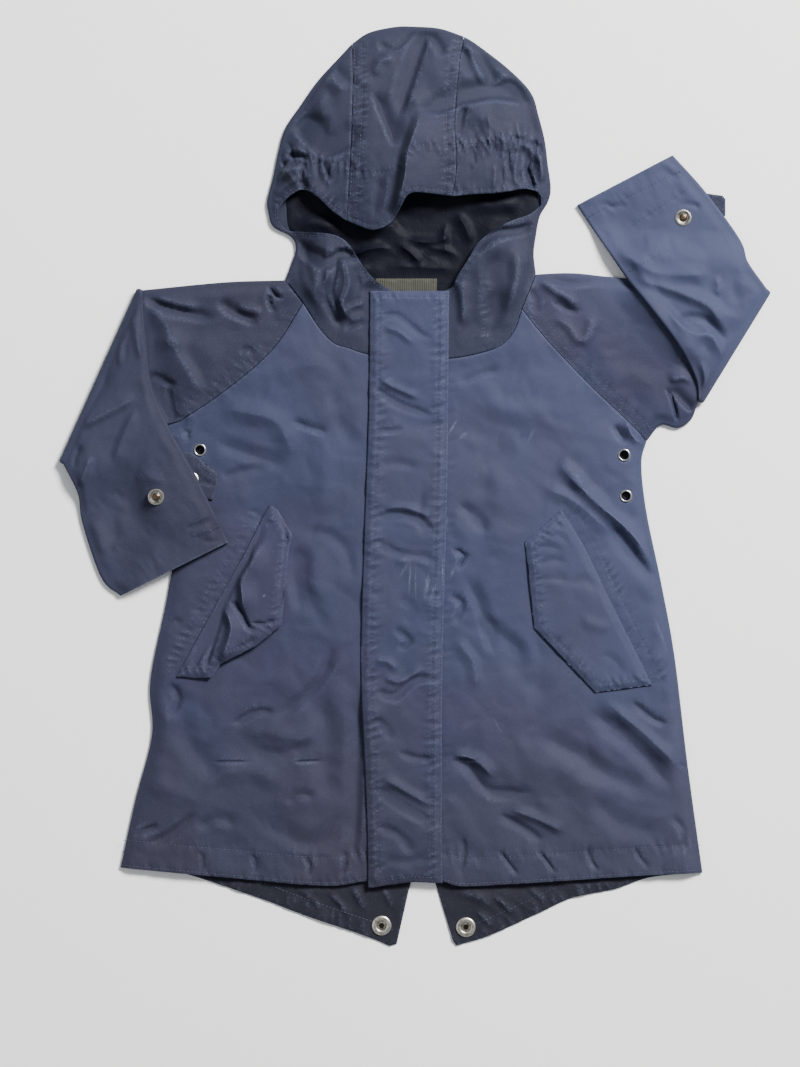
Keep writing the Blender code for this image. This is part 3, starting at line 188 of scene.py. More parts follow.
# ---------------------------------------------------------------- outlines, mm (x, y)
OUTLINES = {
    "side_right": [(-176.2, 49.1), (-186.5, 45.4), (-190, 36), (-184, 20), (-176.4, 2), (-177, -25.1),
        (-186, -82.1), (-198.8, -145.1), (-197.6, -186), (-210, -235.1), (-221.2, -286.1)],
    "side_left": [(174, 34.1), (170.2, 16.9), (174, -19.1), (185.2, -73.1), (195, -127.1), (204.8, -208.1),
        (216, -289.9)],
    "hem_right": [(-221.2, -286.1), (-139.5, -293.6), (-67.5, -299.6), (-36, -296.2), (-7.5, -295.1)],
    "hem_left": [(-1.5, -295.9), (21, -296.6), (39, -300), (111, -295.9), (172.5, -291.8), (216, -289.9)],
    "centre_right": [(-7.5, -295.1), (-7.5, 96.4)],
    "centre_left": [(-1.5, 95.6), (-1.5, -295.9)],
    "neck_right": [(-84, 137.6), (-71.2, 118.1), (-60.8, 107.6), (-50.2, 103.9), (-34.5, 99), (-7.5, 96.4)],
    "neck_left": [(80.2, 133.1), (74, 116.6), (63.8, 105.4), (46.5, 99.4), (26.2, 95.9), (-1.5, 95.6)],
    "raglan_right": [(-84, 137.6), (-101.2, 109.9), (-117.8, 91.9), (-144.8, 70.1), (-176.2, 49.1)],
    "raglan_left": [(80.2, 133.1), (93.8, 115.9), (108.8, 99.4), (135.8, 71.6), (159, 49.9), (174, 34.1)],
    "shoulder_right": [(-97.5, 154.9), (-84, 137.6)],
    "shoulder_left": [(90.8, 159.4), (80.2, 133.1)],
    "tail_right": [(-221.2, -286.1), (-180, -289.1), (-117.8, -309.1), (-83.2, -322.1), (-39, -337.1),
        (-19, -345.2)],
    "tail_left": [(216, -289.9), (177, -293.6), (149.2, -302.6), (118, -309), (93, -320.4), (56.2, -337.1),
        (31, -344.9)],
    "slit": [(-19, -345.2), (-13.5, -343.5), (-3, -296.6), (6, -266.6), (14.8, -296.6), (28.3, -340.9),
        (31, -344.9)],
    "rim_right": [(-47.2, 332.6), (-56.2, 322.9), (-72.8, 304.9), (-85.5, 286.9), (-97.5, 268.9),
        (-102.8, 250.9), (-106.5, 232.9), (-111, 214.9), (-110.2, 205.9), (-106.5, 194.9), (-93, 187.4),
        (-89.5, 178.9), (-92.2, 168.9), (-97.5, 154.9)],
    "rim_left": [(36.8, 337.9), (46.5, 331.9), (69.8, 313.9), (87, 295.9), (93, 277.9), (97.5, 259.9),
        (99.8, 241.9), (102, 223.9), (99.8, 213.4), (93.8, 202.9), (90.8, 187.9), (89.2, 174.4),
        (90.8, 159.4)],
    "crown": [(-47.2, 332.6), (-34.5, 340.9), (-15, 345.2), (0, 345.4), (18.8, 343.9), (36.8, 337.9)],
    "hood_seam_right": [(-47.2, 332.6), (-46.5, 304.9), (-47.2, 274.9), (-48.8, 237.4), (-51, 198.4)],
    "hood_seam_left": [(36.8, 337.9), (33, 312.4), (30, 274.9), (30.8, 237.4), (27.8, 216.4)],
    "brim_right": [(-102.4, 208), (-96, 215.5), (-84, 222), (-73.5, 216.4), (-61.5, 205.1), (-51, 198.4)],
    "brim_centre": [(-51, 198.4), (-36.8, 192.4), (-28.5, 191.6), (-18, 196.9), (-11.2, 206.6),
        (-5.2, 216.4), (3.8, 218.6), (27.8, 216.4)],
    "brim_left": [(27.8, 216.4), (43.5, 217.9), (63.8, 219.4), (84, 222.5), (93.5, 219), (94.6, 211.5)],
    "collar_right": [(-102.4, 208), (-102, 199.9), (-96, 192.5), (-85.5, 191), (-60, 188), (-48.8, 180.4),
        (-41.2, 168.4), (-30, 154.9), (-17.2, 147.4), (-7.5, 146.6)],
    "collar_left": [(94.6, 211.5), (86.2, 204.5), (71.2, 198.4), (58.5, 191.6), (47.2, 182.6),
        (39.8, 170.4), (32.2, 158.6), (24, 147.4), (-1.5, 146.6)],
    "stand_right": [(-7.5, 96.4), (-7.5, 146.6)],
    "stand_left": [(-1.5, 146.6), (-1.5, 95.6)],
    "placket_free": [(-33.8, 146.6), (-34.6, 60), (-38, -36.4), (-40.5, -131.6), (-38, -200), (-35.8, -256),
        (-35.2, -301.1)],
    "placket_sewn": [(25.5, 146.6), (24.4, 14.6), (22.1, -77.6), (20.4, -151.1), (20.2, -246.4),
        (20.6, -297.4)],
    "placket_hem": [(-35.2, -301.1), (-3, -296.4), (20.6, -297.4)],
    "placket_top": [(25.5, 146.6), (-33.8, 146.6)],
    "flap_seam_right": [(-112.5, -20), (-131, -56), (-156, -101), (-179, -143)],
    "flap_free_right": [(-112.5, -20), (-108.5, -13.5), (-102.8, -17.6), (-91.5, -37.1), (-94.5, -46.1),
        (-98.2, -85.1), (-99.8, -103.9), (-119.2, -119.6), (-145.5, -133.1), (-153, -143.6), (-179, -143)],
    "flap_seam_left": [(109.5, -17.6), (126, -43.9), (142.5, -78.4), (160.5, -114.4), (177.8, -148.9)],
    "flap_free_left": [(109.5, -17.6), (82.5, -41.5), (89.2, -106), (135, -154.5), (177.8, -148.9)],
    # The back layer.
    "neck_back_right": [(-84, 155.6), (-40, 157.1)],
    "neck_back_centre": [(-40, 157.1), (30, 157.1)],
    "neck_back_left": [(30, 157.1), (80.2, 157.3)],
    "shoulder_back_right": [(-97.5, 154.9), (-84, 155.6)],
    "shoulder_back_left": [(90.8, 159.4), (80.2, 157.3)],
    "raglan_back_right": [(-84, 155.6), (-104, 122), (-134, 88), (-176.2, 49.1)],
    "raglan_back_left": [(80.2, 157.3), (98, 124), (130, 84), (174, 34.1)],
    "hood_back_seam_right": [(-47.2, 332.6), (-46.5, 304.9), (-44, 240), (-40, 157.1)],
    "hood_back_seam_left": [(36.8, 337.9), (33, 312.4), (31, 240), (30, 157.1)],
    # Lines that are only sewn.
    "casing_right": [(-103, 246), (-92, 247), (-80, 246), (-64, 242), (-49.5, 238)],
    "casing_centre": [(-48, 237), (-36.8, 233.6), (-13.5, 236.6), (0, 252), (23.2, 253.9), (30, 254.6)],
    "casing_left": [(31.5, 255), (54, 256.9), (67.5, 259.9), (77.2, 258.4), (94, 251.6)],
    "hood_dart": [(52.5, 158), (52.2, 130), (51.8, 103)],
    "elbow_patch_right": [(-249, -22), (-190, 18)],
    "cuff_facing_right": [(-230, -50), (-208.5, -39.4), (-161.2, -14.6)],
    "cuff_hem_right": [(-215.6, -67), (-141.5, -27)],
    "elbow_patch_left": [(160, 194), (179.2, 206.6), (204.8, 223.1)],
    "cuff_facing_left": [(160, 161), (174, 168.4), (192.8, 178.9)],
    "cuff_hem_left": [(127, 201), (202, 238)],
    "tab_stitch_right": [(-176, 21.5), (-168, 22), (-160, 15), (-152, 7.5), (-151, 2)],
    "tab_stitch_left": [(220, 205), (229.6, 204.6), (230.2, 215.5), (219, 217)],
}
CORNERED = {"slit", "flap_free_right", "flap_free_left", "placket_top", "placket_hem"}
TWINS = {  # curves of the back layer that have as many points as a curve of the front layer
    "shoulder_back_right": "shoulder_right", "shoulder_back_left": "shoulder_left",
    "raglan_back_right": "raglan_right", "raglan_back_left": "raglan_left",
}
# The curves round each piece, counter-clockwise; a curve after a minus sign runs the other way.
BACK_CHAIN = ("side_right tail_right slit -tail_left -side_left -raglan_back_left"
              " -neck_back_left -neck_back_centre -neck_back_right raglan_back_right")
FRONT_CHAINS = {
    "front_right": "side_right hem_right centre_right -neck_right raglan_right",
    "front_left": "neck_left centre_left hem_left -side_left -raglan_left",
}
OVERLAY_CHAINS = {
    "placket": "placket_free placket_hem -placket_sewn placket_top",
    "pocket_flap_right": "flap_seam_right -flap_free_right",
    "pocket_flap_left": "flap_free_left -flap_seam_left",
}
HOOD_CHAINS = {  # front and back layer; each begins with the fold that joins the two
    "hood_side_right": (
        "rim_right shoulder_right neck_right stand_right -collar_right brim_right -hood_seam_right",
        "rim_right shoulder_back_right neck_back_right -hood_back_seam_right"),
    "hood_side_left": (
        "-rim_left hood_seam_left brim_left collar_left stand_left -neck_left -shoulder_left",
        "-rim_left hood_back_seam_left neck_back_left -shoulder_back_left"),
    "hood_centre": (
        "-crown hood_seam_right brim_centre -hood_seam_left",
        "-crown hood_back_seam_right neck_back_centre -hood_back_seam_left"),
}
TAB_RIGHT = [(-190, 31), (-173.2, 25.8), (-168, 26.2), (-148.2, 9.8), (-147.6, 1), (-151.5, -10),
    (-186, -4), (-190, 31)]
TAB_LEFT = [(196, 226), (190, 206), (229.6, 201), (233.2, 203.6), (233.2, 216), (231, 218.6),
    (219.8, 220.1), (196, 226)]
LABEL = [(-30, 156.2), (-30, 141), (16.5, 141), (16.5, 156.2), (-30, 156.2)]
LINING = [(-97, 214), (-92, 190), (-64, 176), (-50, 160), (-38, 140), (34, 140), (44, 168), (60, 182),
    (88, 196), (92, 214), (84, 236), (40, 244), (-20, 244), (-80, 240), (-97, 214)]

SLEEVES = {
    "sleeve_right": dict(
        crease=[(-208.5, 149.2), (-267.4, 18.4)],
        top=[(-97.5, 154.9), (-143, 153.4), (-208.5, 149.2)],
        under=[(-176.2, 49.1), (-205, 40), (-267.4, 18.4)],
        fore_top=[(-208.5, 149.2), (-201.8, 113.6), (-194.2, 66.4), (-161.2, 2.6), (-139.5, -41.6)],
        fore_under=[(-267.4, 18.4), (-253, -5), (-249.8, -27.4), (-235.5, -68.6), (-221.2, -82.1)],
    ),
    "sleeve_left": dict(
        crease=[(267.4, 145.9), (216, 62)],
        top=[(90.8, 159.4), (119.2, 160.2), (157.5, 156.4), (267.4, 145.9)],
        under=[(174, 34.1), (184.5, 46.1), (197.2, 43.9), (207.5, 50.4), (216, 62)],
        fore_top=[(267.4, 145.9), (249.8, 168), (243.8, 185.6), (218.2, 220.9), (193.5, 248.6)],
        fore_under=[(216, 62), (209.6, 82), (193.5, 110), (157.5, 157.1), (121.5, 211.1)],
    ),
}
TAB_LIFTS = {"sleeve_right": (-170, 10, 56, 2.9), "sleeve_left": (206, 208, 60, 1.6)}
HOOD_RISES = [
    (-5, 240, 84, 66, 18),
    (-74, 160, 28, 30, 9),
    (66, 166, 26, 32, 7),
]
EYELETS = {"eyelet_right": (-161.2, 27.4), "eyelet_left_upper": (156.8, 23.6),
           "eyelet_left_lower": (158.2, -7.1)}
SNAPS = [(-193.5, -7.9), (201, 201.4), (-168, 4.9), (-25.1, -329.6), (38.2, -330.8)]

# ---------------------------------------------------------------- folds and creases, mm
# Folds: points along the crest, width to its left, width to its right, height (a trough where it is
# negative), crispness of the crest (0 soft to 1 sharp).
SHARED_RIDGES = [
    ([(157.5, 156.7), (173.8, 137.7), (191.1, 117), (204.9, 99.8), (209.2, 86)], 14, 20, 6.5, 0),
]
BODY_FOLDS = [
    ([(-149.9, 58.4), (-126.2, 55.4), (-102.4, 46.5), (-90.6, 18.4)], 14, 12, 3.26, 0.43),
    ([(-152.8, 36.1), (-123.2, 24.3), (-93.5, 15.4)], 10, 9, -2.69, 0.34),
    ([(-93.5, 50.4), (-78.7, 44.4), (-63.9, 40.6)], 6, 5, -2.53, 0.63),
    ([(-146.9, 6.5), (-129.1, 12.4), (-108.4, 15.4)], 6, 7, -2.08, 0.38),
    ([(-86.1, -39.4), (-89.1, -70.6), (-81.7, -97.2)], 12, 9.6, -2.77, 0.1),
    ([(-71.3, -39.4), (-74.3, -70.6), (-63.9, -97.2), (-53.5, -107.6)], 15.6, 8.4, 1.82, 0.2),
    ([(-87.6, -33.5), (-63.9, -35.6), (-50.6, -49.8), (-46.1, -70.6)], 7.2, 9.6, -1.61, 0.2),
    ([(-59.5, -119.5), (-71.3, -144.7), (-93.5, -165.4), (-108.4, -174.3)], 8, 8, -3.23, 0.55),
    ([(-138, -178.8), (-118.7, -168.4), (-103.9, -170.2)], 5, 6, -3.23, 0.71),
    ([(-132.1, -189.1), (-114.3, -183.8), (-93.5, -188.5), (-72.8, -186.2)], 11.7, 7.8, 1.48, 0.35),
    ([(-126.2, -194.5), (-105.4, -199.5), (-90.6, -197.4), (-72.8, -190)], 6, 9, -1.5, 0.32),
    ([(-153.4, -206.6), (-138, -206), (-122.6, -206)], 1.6, 1.6, -1.27, 0.8),
    ([(-93.5, -206.3), (-78.7, -205.7), (-63.3, -206)], 1.6, 1.6, -1.27, 0.8),
    ([(-121.7, -236.5), (-102.4, -258.8), (-72.8, -266.8), (-46.1, -246.9),
      (-36.6, -233.6)], 14.4, 9.6, -2.28, 0.2),
    ([(-204.7, -269.7), (-185.4, -260.9), (-161.7, -242.5)], 6, 8, -2.76, 0.55),
    ([(-212.7, -263.8), (-203.2, -257.3), (-191.4, -253.7)], 4, 5, -2.3, 0.63),
    ([(-43.2, -141.7), (-41.7, -186.2), (-43.2, -230.6), (-45.5, -289.9)], 6, 12, -3.26, 0.34),
    ([(-75.8, -153.6), (-65.4, -180.2), (-66.9, -212.8), (-60.9, -239.5)], 14, 14, -2.69, 0.17),
    ([(-152.8, -215.8), (-123.2, -212.8), (-96.5, -224.7)], 14, 12, 2.11, 0.17),
    ([(-176.5, -168.4), (-167.6, -195.1), (-143.9, -218.8)], 12, 14, -1.92, 0.17),
    ([(-197.3, -212.8), (-182.5, -230.6), (-155.8, -233.6)], 12, 12, 1.73, 0.17),
    ([(-132.1, -100.2), (-108.4, -112.1)], 5, 5, 1.15, 0.21),
    ([(-72.8, 30.2), (-66.9, 0.6), (-72.8, -23.1)], 14, 12, 1.73, 0.17),
    ([(-60.9, 74.7), (-55, 48), (-43.2, 27.2)], 12, 10, -1.54, 0.17),
    ([(-108.4, 80.6), (-81.7, 91), (-55, 85)], 12, 12, 1.54, 0.17),
    ([(-185.4, -144.7), (-176.5, -159.5), (-185.4, -174.3)], 5, 6, -2.3, 0.55),
    ([(-194.3, -112.1), (-182.5, -100.2), (-173.6, -103.2)], 5, 5, -1.61, 0.55),
    ([(-164.7, -257.3), (-149.9, -248.4), (-132.1, -254.3)], 8, 8, -2.08, 0.38),
    ([(-96.5, -239.5), (-87.6, -230.6), (-72.8, -233.6)], 7, 8, -1.85, 0.46),
    ([(30.9, -11.3), (45.8, -23.1), (56.1, -36.5)], 8, 8, -2.76, 0.46),
    ([(26.5, -47.4), (37.5, -50.4), (31.5, -63.2)], 4, 5, -3, 0.71),
    ([(36.9, -64.6), (49.3, -91.3), (60.6, -129.8)], 10, 7, -2.88, 0.43),
    ([(25, -80), (36.3, -88.9), (28.6, -103.8)], 5, 5, -2.3, 0.63),
    ([(28, -112.1), (42.8, -129.8), (47.2, -153.6)], 8, 9, 2.3, 0.38),
    ([(103.6, 19.8), (134.7, -11.3), (161.4, -35), (185.7, -68.2)], 12, 8, 5.18, 0.51),
    ([(146.5, -26.7), (161.4, -47.4), (182.7, -71.2)], 6, 12, -3.26, 0.43),
    ([(93.2, 0.6), (119.9, -11.3), (146.5, -35)], 8, 9, 2.76, 0.46),
    ([(24.4, -205.7), (39.2, -209.3), (56.1, -228.2), (88.7, -229.4)], 7, 8, -3.68, 0.71),
    ([(26.5, -200.4), (45.8, -205.4), (60.6, -220.2)], 9, 5, 3, 0.63),
    ([(27.4, -205.1), (36.9, -204.8), (49.3, -205.1)], 1.6, 1.6, -1.15, 0.8),
    ([(62.1, -244.8), (84.3, -257.3), (97.6, -266.8)], 5, 7, -3.46, 0.71),
    ([(69.5, -241), (93.2, -249.9), (113.9, -260.3)], 9, 5, 2.76, 0.55),
    ([(128.8, -165.4), (164.3, -195.1), (194, -227.7)], 10, 12, -4.03, 0.43),
    ([(140.6, -159.5), (173.2, -186.2), (201.4, -214.3)], 8, 8, 3, 0.55),
    ([(161.4, -160.1), (179.1, -174.3), (191.6, -177.9)], 5, 5, -2.76, 0.63),
    ([(78.4, -216.4), (105, -209.9), (128.8, -225.3), (149.5, -239.5)], 16, 16, 2.5, 0.17),
    ([(131.7, -227.7), (152.5, -251.4), (188, -260.3)], 12, 12, -1.92, 0.17),
    ([(39.8, 65.8), (75.4, 56.9), (105, 56.9)], 14, 14, 2.11, 0.09),
    ([(30.9, 77), (45.8, 83.6), (65, 88.9)], 6, 5, -1.85, 0.55),
    ([(75.4, 30.2), (93.2, 36.1), (119.9, 27.2)], 14, 12, -1.73, 0.17),
    ([(45.8, 15.4), (63.5, 0.6), (57.6, -23.1)], 14, 12, 1.54, 0.17),
    ([(63.5, -112.1), (81.3, -141.7), (105, -159.5)], 16, 14, -1.92, 0.17),
    ([(191, -245.4), (202.9, -260.3), (194, -278)], 6, 6, -1.85, 0.46),
    ([(196.9, -206.9), (205.8, -211.4), (208.8, -218.8)], 4, 4, -2.3, 0.63),
    ([(35.4, -260.3), (37.5, -275.1), (33.3, -292.9)], 4, 5, -1.85, 0.55),
    ([(62.1, -272.1), (69.5, -281), (78.4, -292.9)], 3, 3, -1.73, 0.63),
    ([(91.7, -272.1), (99.1, -281), (106.5, -291.4)], 3, 3, -1.73, 0.63),
    ([(128.8, -269.2), (131.7, -279.5), (139.1, -289.9)], 3, 3, -1.5, 0.63),
    ([(164.3, -269.2), (168.8, -278), (176.2, -286.9)], 3, 3, -1.38, 0.63),
    ([(-161.7, -272.1), (-158.2, -281), (-160.2, -289.9)], 3, 3, -1.38, 0.63),
    ([(-123.2, -275.1), (-118.7, -282.5), (-121.7, -291.4)], 3, 3, -1.5, 0.63),
    ([(-84.7, -275.1), (-78.7, -284), (-80.2, -294.3)], 3, 3, -1.5, 0.63),
    ([(-55, -272.1), (-51.5, -281), (-55, -292.9)], 4, 4, -1.85, 0.63),
    ([(92.8, 158.4), (104, 147.2), (115.2, 141.1), (122.5, 132.2)], 7, 5, 3.91, 0.71),
    ([(96.3, 160.1), (115.2, 153.6), (139.4, 156.3)], 6, 6, -3.68, 0.55),
    ([(104, 140.3), (113.5, 133.4), (123.8, 130.5)], 5, 4, -3, 0.63),
    ([(98.8, 127.4), (113.5, 122.2), (123.8, 108.4), (131.6, 117), (132.5, 132.5)], 6, 6, 2.53, 0.55),
    ([(190.2, 78.2), (199.7, 81.7), (210.9, 78.2)], 10, 5, 3.84, 0.68),
    ([(191.1, 74.3), (201.4, 63.6), (210, 54.9)], 9, 4, -5.06, 0.8),
    ([(188.5, 75.6), (193.7, 63.6), (197.6, 46.3)], 2.6, 2.6, -5.06, 0.8),
    ([(157.5, 50.6), (162.6, 37.7), (172.1, 30.8)], 4, 6, 3.68, 0.63),
    ([(148.8, 47.2), (155.7, 36), (157.5, 29.9)], 5, 5, -3.23, 0.55),
    ([(106.6, 18.7), (118.7, 10.1), (129, -1.9)], 9, 8, 2.3, 0.38),
    ([(85.9, 149.8), (91.1, 139.4), (89.4, 129.1)], 5, 5, -1.85, 0.46),
    ([(146.3, 104.9), (144.5, 87.7), (156.6, 73.9)], 14, 12, 1.54, 0.09),
    ([(-205.7, 146.8), (-195.6, 138.7), (-181.1, 133.1), (-163.2, 129),
      (-147, 126.6)], 7, 8, -5.3, 0.8),
    ([(-197.3, 143.6), (-179.4, 137.1), (-160, 133.9)], 6, 6, 2.53, 0.46),
    ([(-147, 142), (-140.6, 133.9), (-130.8, 129), (-115.4, 122.5)], 8, 6, -5.06, 0.71),
    ([(-134.1, 135.5), (-124.4, 131.9), (-113, 132.2)], 6, 5, 2.53, 0.55),
    ([(-109.8, 151.7), (-104.9, 143.6), (-99.2, 142)], 3, 3, -3.68, 0.8),
    ([(-108.2, 145.2), (-109, 137.1), (-103.3, 130.6)], 3, 3, -3.23, 0.8),
    ([(-103.6, 151.7), (-101.4, 146.8), (-102, 142.8)], 2.6, 2.6, 2.08, 0.71),
    ([(-200.5, 135.5), (-185.9, 120.9), (-184, 99.8)], 20, 12, 3.84, 0.43),
    ([(-202.1, 88.5), (-195.6, 70.7), (-182.7, 48), (-176.2, 35)], 18, 6, -4.8, 0.34),
    ([(-198.9, 85.3), (-185.9, 78.5), (-177.5, 75.5)], 5, 5, -3.68, 0.71),
    ([(-185.1, 77.2), (-184, 64.2), (-180.2, 48)], 4, 3, -3.68, 0.8),
    ([(-176.2, 44.4), (-170.5, 41.2), (-169.7, 33.4)], 3, 3, -2.08, 0.71),
    ([(-130.8, 99.8), (-124.4, 104.7), (-121.1, 98.2)], 4, 4, -1.85, 0.63),
    ([(-169.7, 112.8), (-156.8, 99.8), (-143.8, 91.7)], 16, 14, 1.54, 0.09),
    ([(88.8, -183.6), (117.4, -197.5), (146, -216.2), (178, -228.5)], 12, 12, -3, 0.3),
    ([(44, -98), (66, -112), (86, -130)], 10, 10, -2.6, 0.3),
    ([(-186, 118), (-176, 96), (-164, 76), (-158, 66)], 10, 18, 4.2, 0.2),
]
FORE_RIGHT_FOLDS = [
    ([(-219.9, 125), (-220.3, 107.9), (-221.2, 88.5)], 5, 4, 1.98, 0.56),
    ([(-254, 43.5), (-241, 49.6), (-224.8, 57.7), (-207, 68.2)], 12, 5, 2.52, 0.64),
    ([(-206.2, 57.7), (-213.5, 48), (-221.6, 28.6), (-224.8, 15.6)], 10, 6, 2.34, 0.48),
    ([(-228, 88.5), (-236.1, 73.9), (-250.7, 51.2)], 8, 6, -1.98, 0.48),
    ([(-242.3, 23.7), (-246.7, 10.7), (-251.5, -2.2)], 6, 6, 3.06, 0.64),
    ([(-249.1, 31.8), (-254, 22.1), (-255.6, 10.7)], 5, 5, -1.98, 0.48),
    ([(-176.2, 5.1), (-166.5, 1), (-159.2, 1.8)], 3, 3, -1.62, 0.56),
    ([(-173, -31.7), (-160, -27.3), (-149, -22.1)], 3, 4, -1.98, 0.64),
    ([(-202.1, -0.6), (-195.6, 1.8), (-189.2, -0.6)], 3, 3, -1.08, 0.48),
    ([(-168.1, -36.6), (-160, -33.8), (-150.3, -31.4)], 3, 3, 0.9, 0.4),
    ([(-211.8, 132.2), (-208.6, 112.8), (-204.5, 93.4)], 6, 5, 1.8, 0.32),
    ([(-243.4, -24.9), (-237.8, -36.2), (-234.5, -52.4)], 10, 12, 1.44, 0.16),
    ([(-219.9, -13.6), (-224.8, -26.5), (-221.6, -42.7)], 14, 12, -1.08, 0.08),
    ([(-182.7, 28.6), (-192.4, 15.6), (-198.9, 5.9)], 14, 12, -1.08, 0.08),
    ([(-160, -39.5), (-153.5, -41.1), (-145.4, -38.7)], 3, 3, -1.08, 0.48),
]
FORE_LEFT_FOLDS = [
    ([(144.5, 175.6), (160, 171.3), (175.6, 161), (194.5, 158), (215.2, 158.4),
      (225.6, 156.3)], 10, 9, 3.06, 0.56),
    ([(157.5, 156.7), (173.8, 152.4), (191.1, 147.2), (206.6, 141.1), (218.7, 135.1),
      (227.3, 124.8), (237.6, 113.6)], 12, 7, 3.96, 0.64),
    ([(194.5, 123.9), (206.6, 127.4), (218.7, 123.9), (229, 113.6), (236.8, 110.1)], 5, 5, -2.88, 0.48),
    ([(184.2, 141.1), (194.5, 123.9), (210, 113.6), (220.4, 113.6), (226.4, 104.9),
      (233.3, 90.3)], 6, 9, 3.42, 0.56),
    ([(197.1, 208.4), (204.9, 211.8), (215.2, 208.4)], 4, 4, -1.62, 0.48),
    ([(223.8, 156.7), (227.3, 149.8), (224.7, 142.9)], 5, 6, 1.8, 0.48),
    ([(132.5, 193.7), (139.4, 190.3), (146.3, 187.7)], 3, 3, -1.17, 0.48),
    ([(137.6, 213.6), (149.7, 210.1), (160, 213.6)], 3, 4, -1.08, 0.4),
    ([(170.4, 186), (180.7, 182.5), (191.1, 184.2)], 9, 8, 1.08, 0.16),
    ([(213.5, 94.6), (216.9, 79.1), (215.2, 65.3)], 5, 7, 2.34, 0.4),
    ([(241.1, 163.6), (237.6, 149.8), (242.8, 136)], 8, 8, -1.26, 0.16),
    ([(184.2, 241.1), (191.1, 232.5), (199.7, 234.2)], 6, 6, -0.9, 0.24),
]
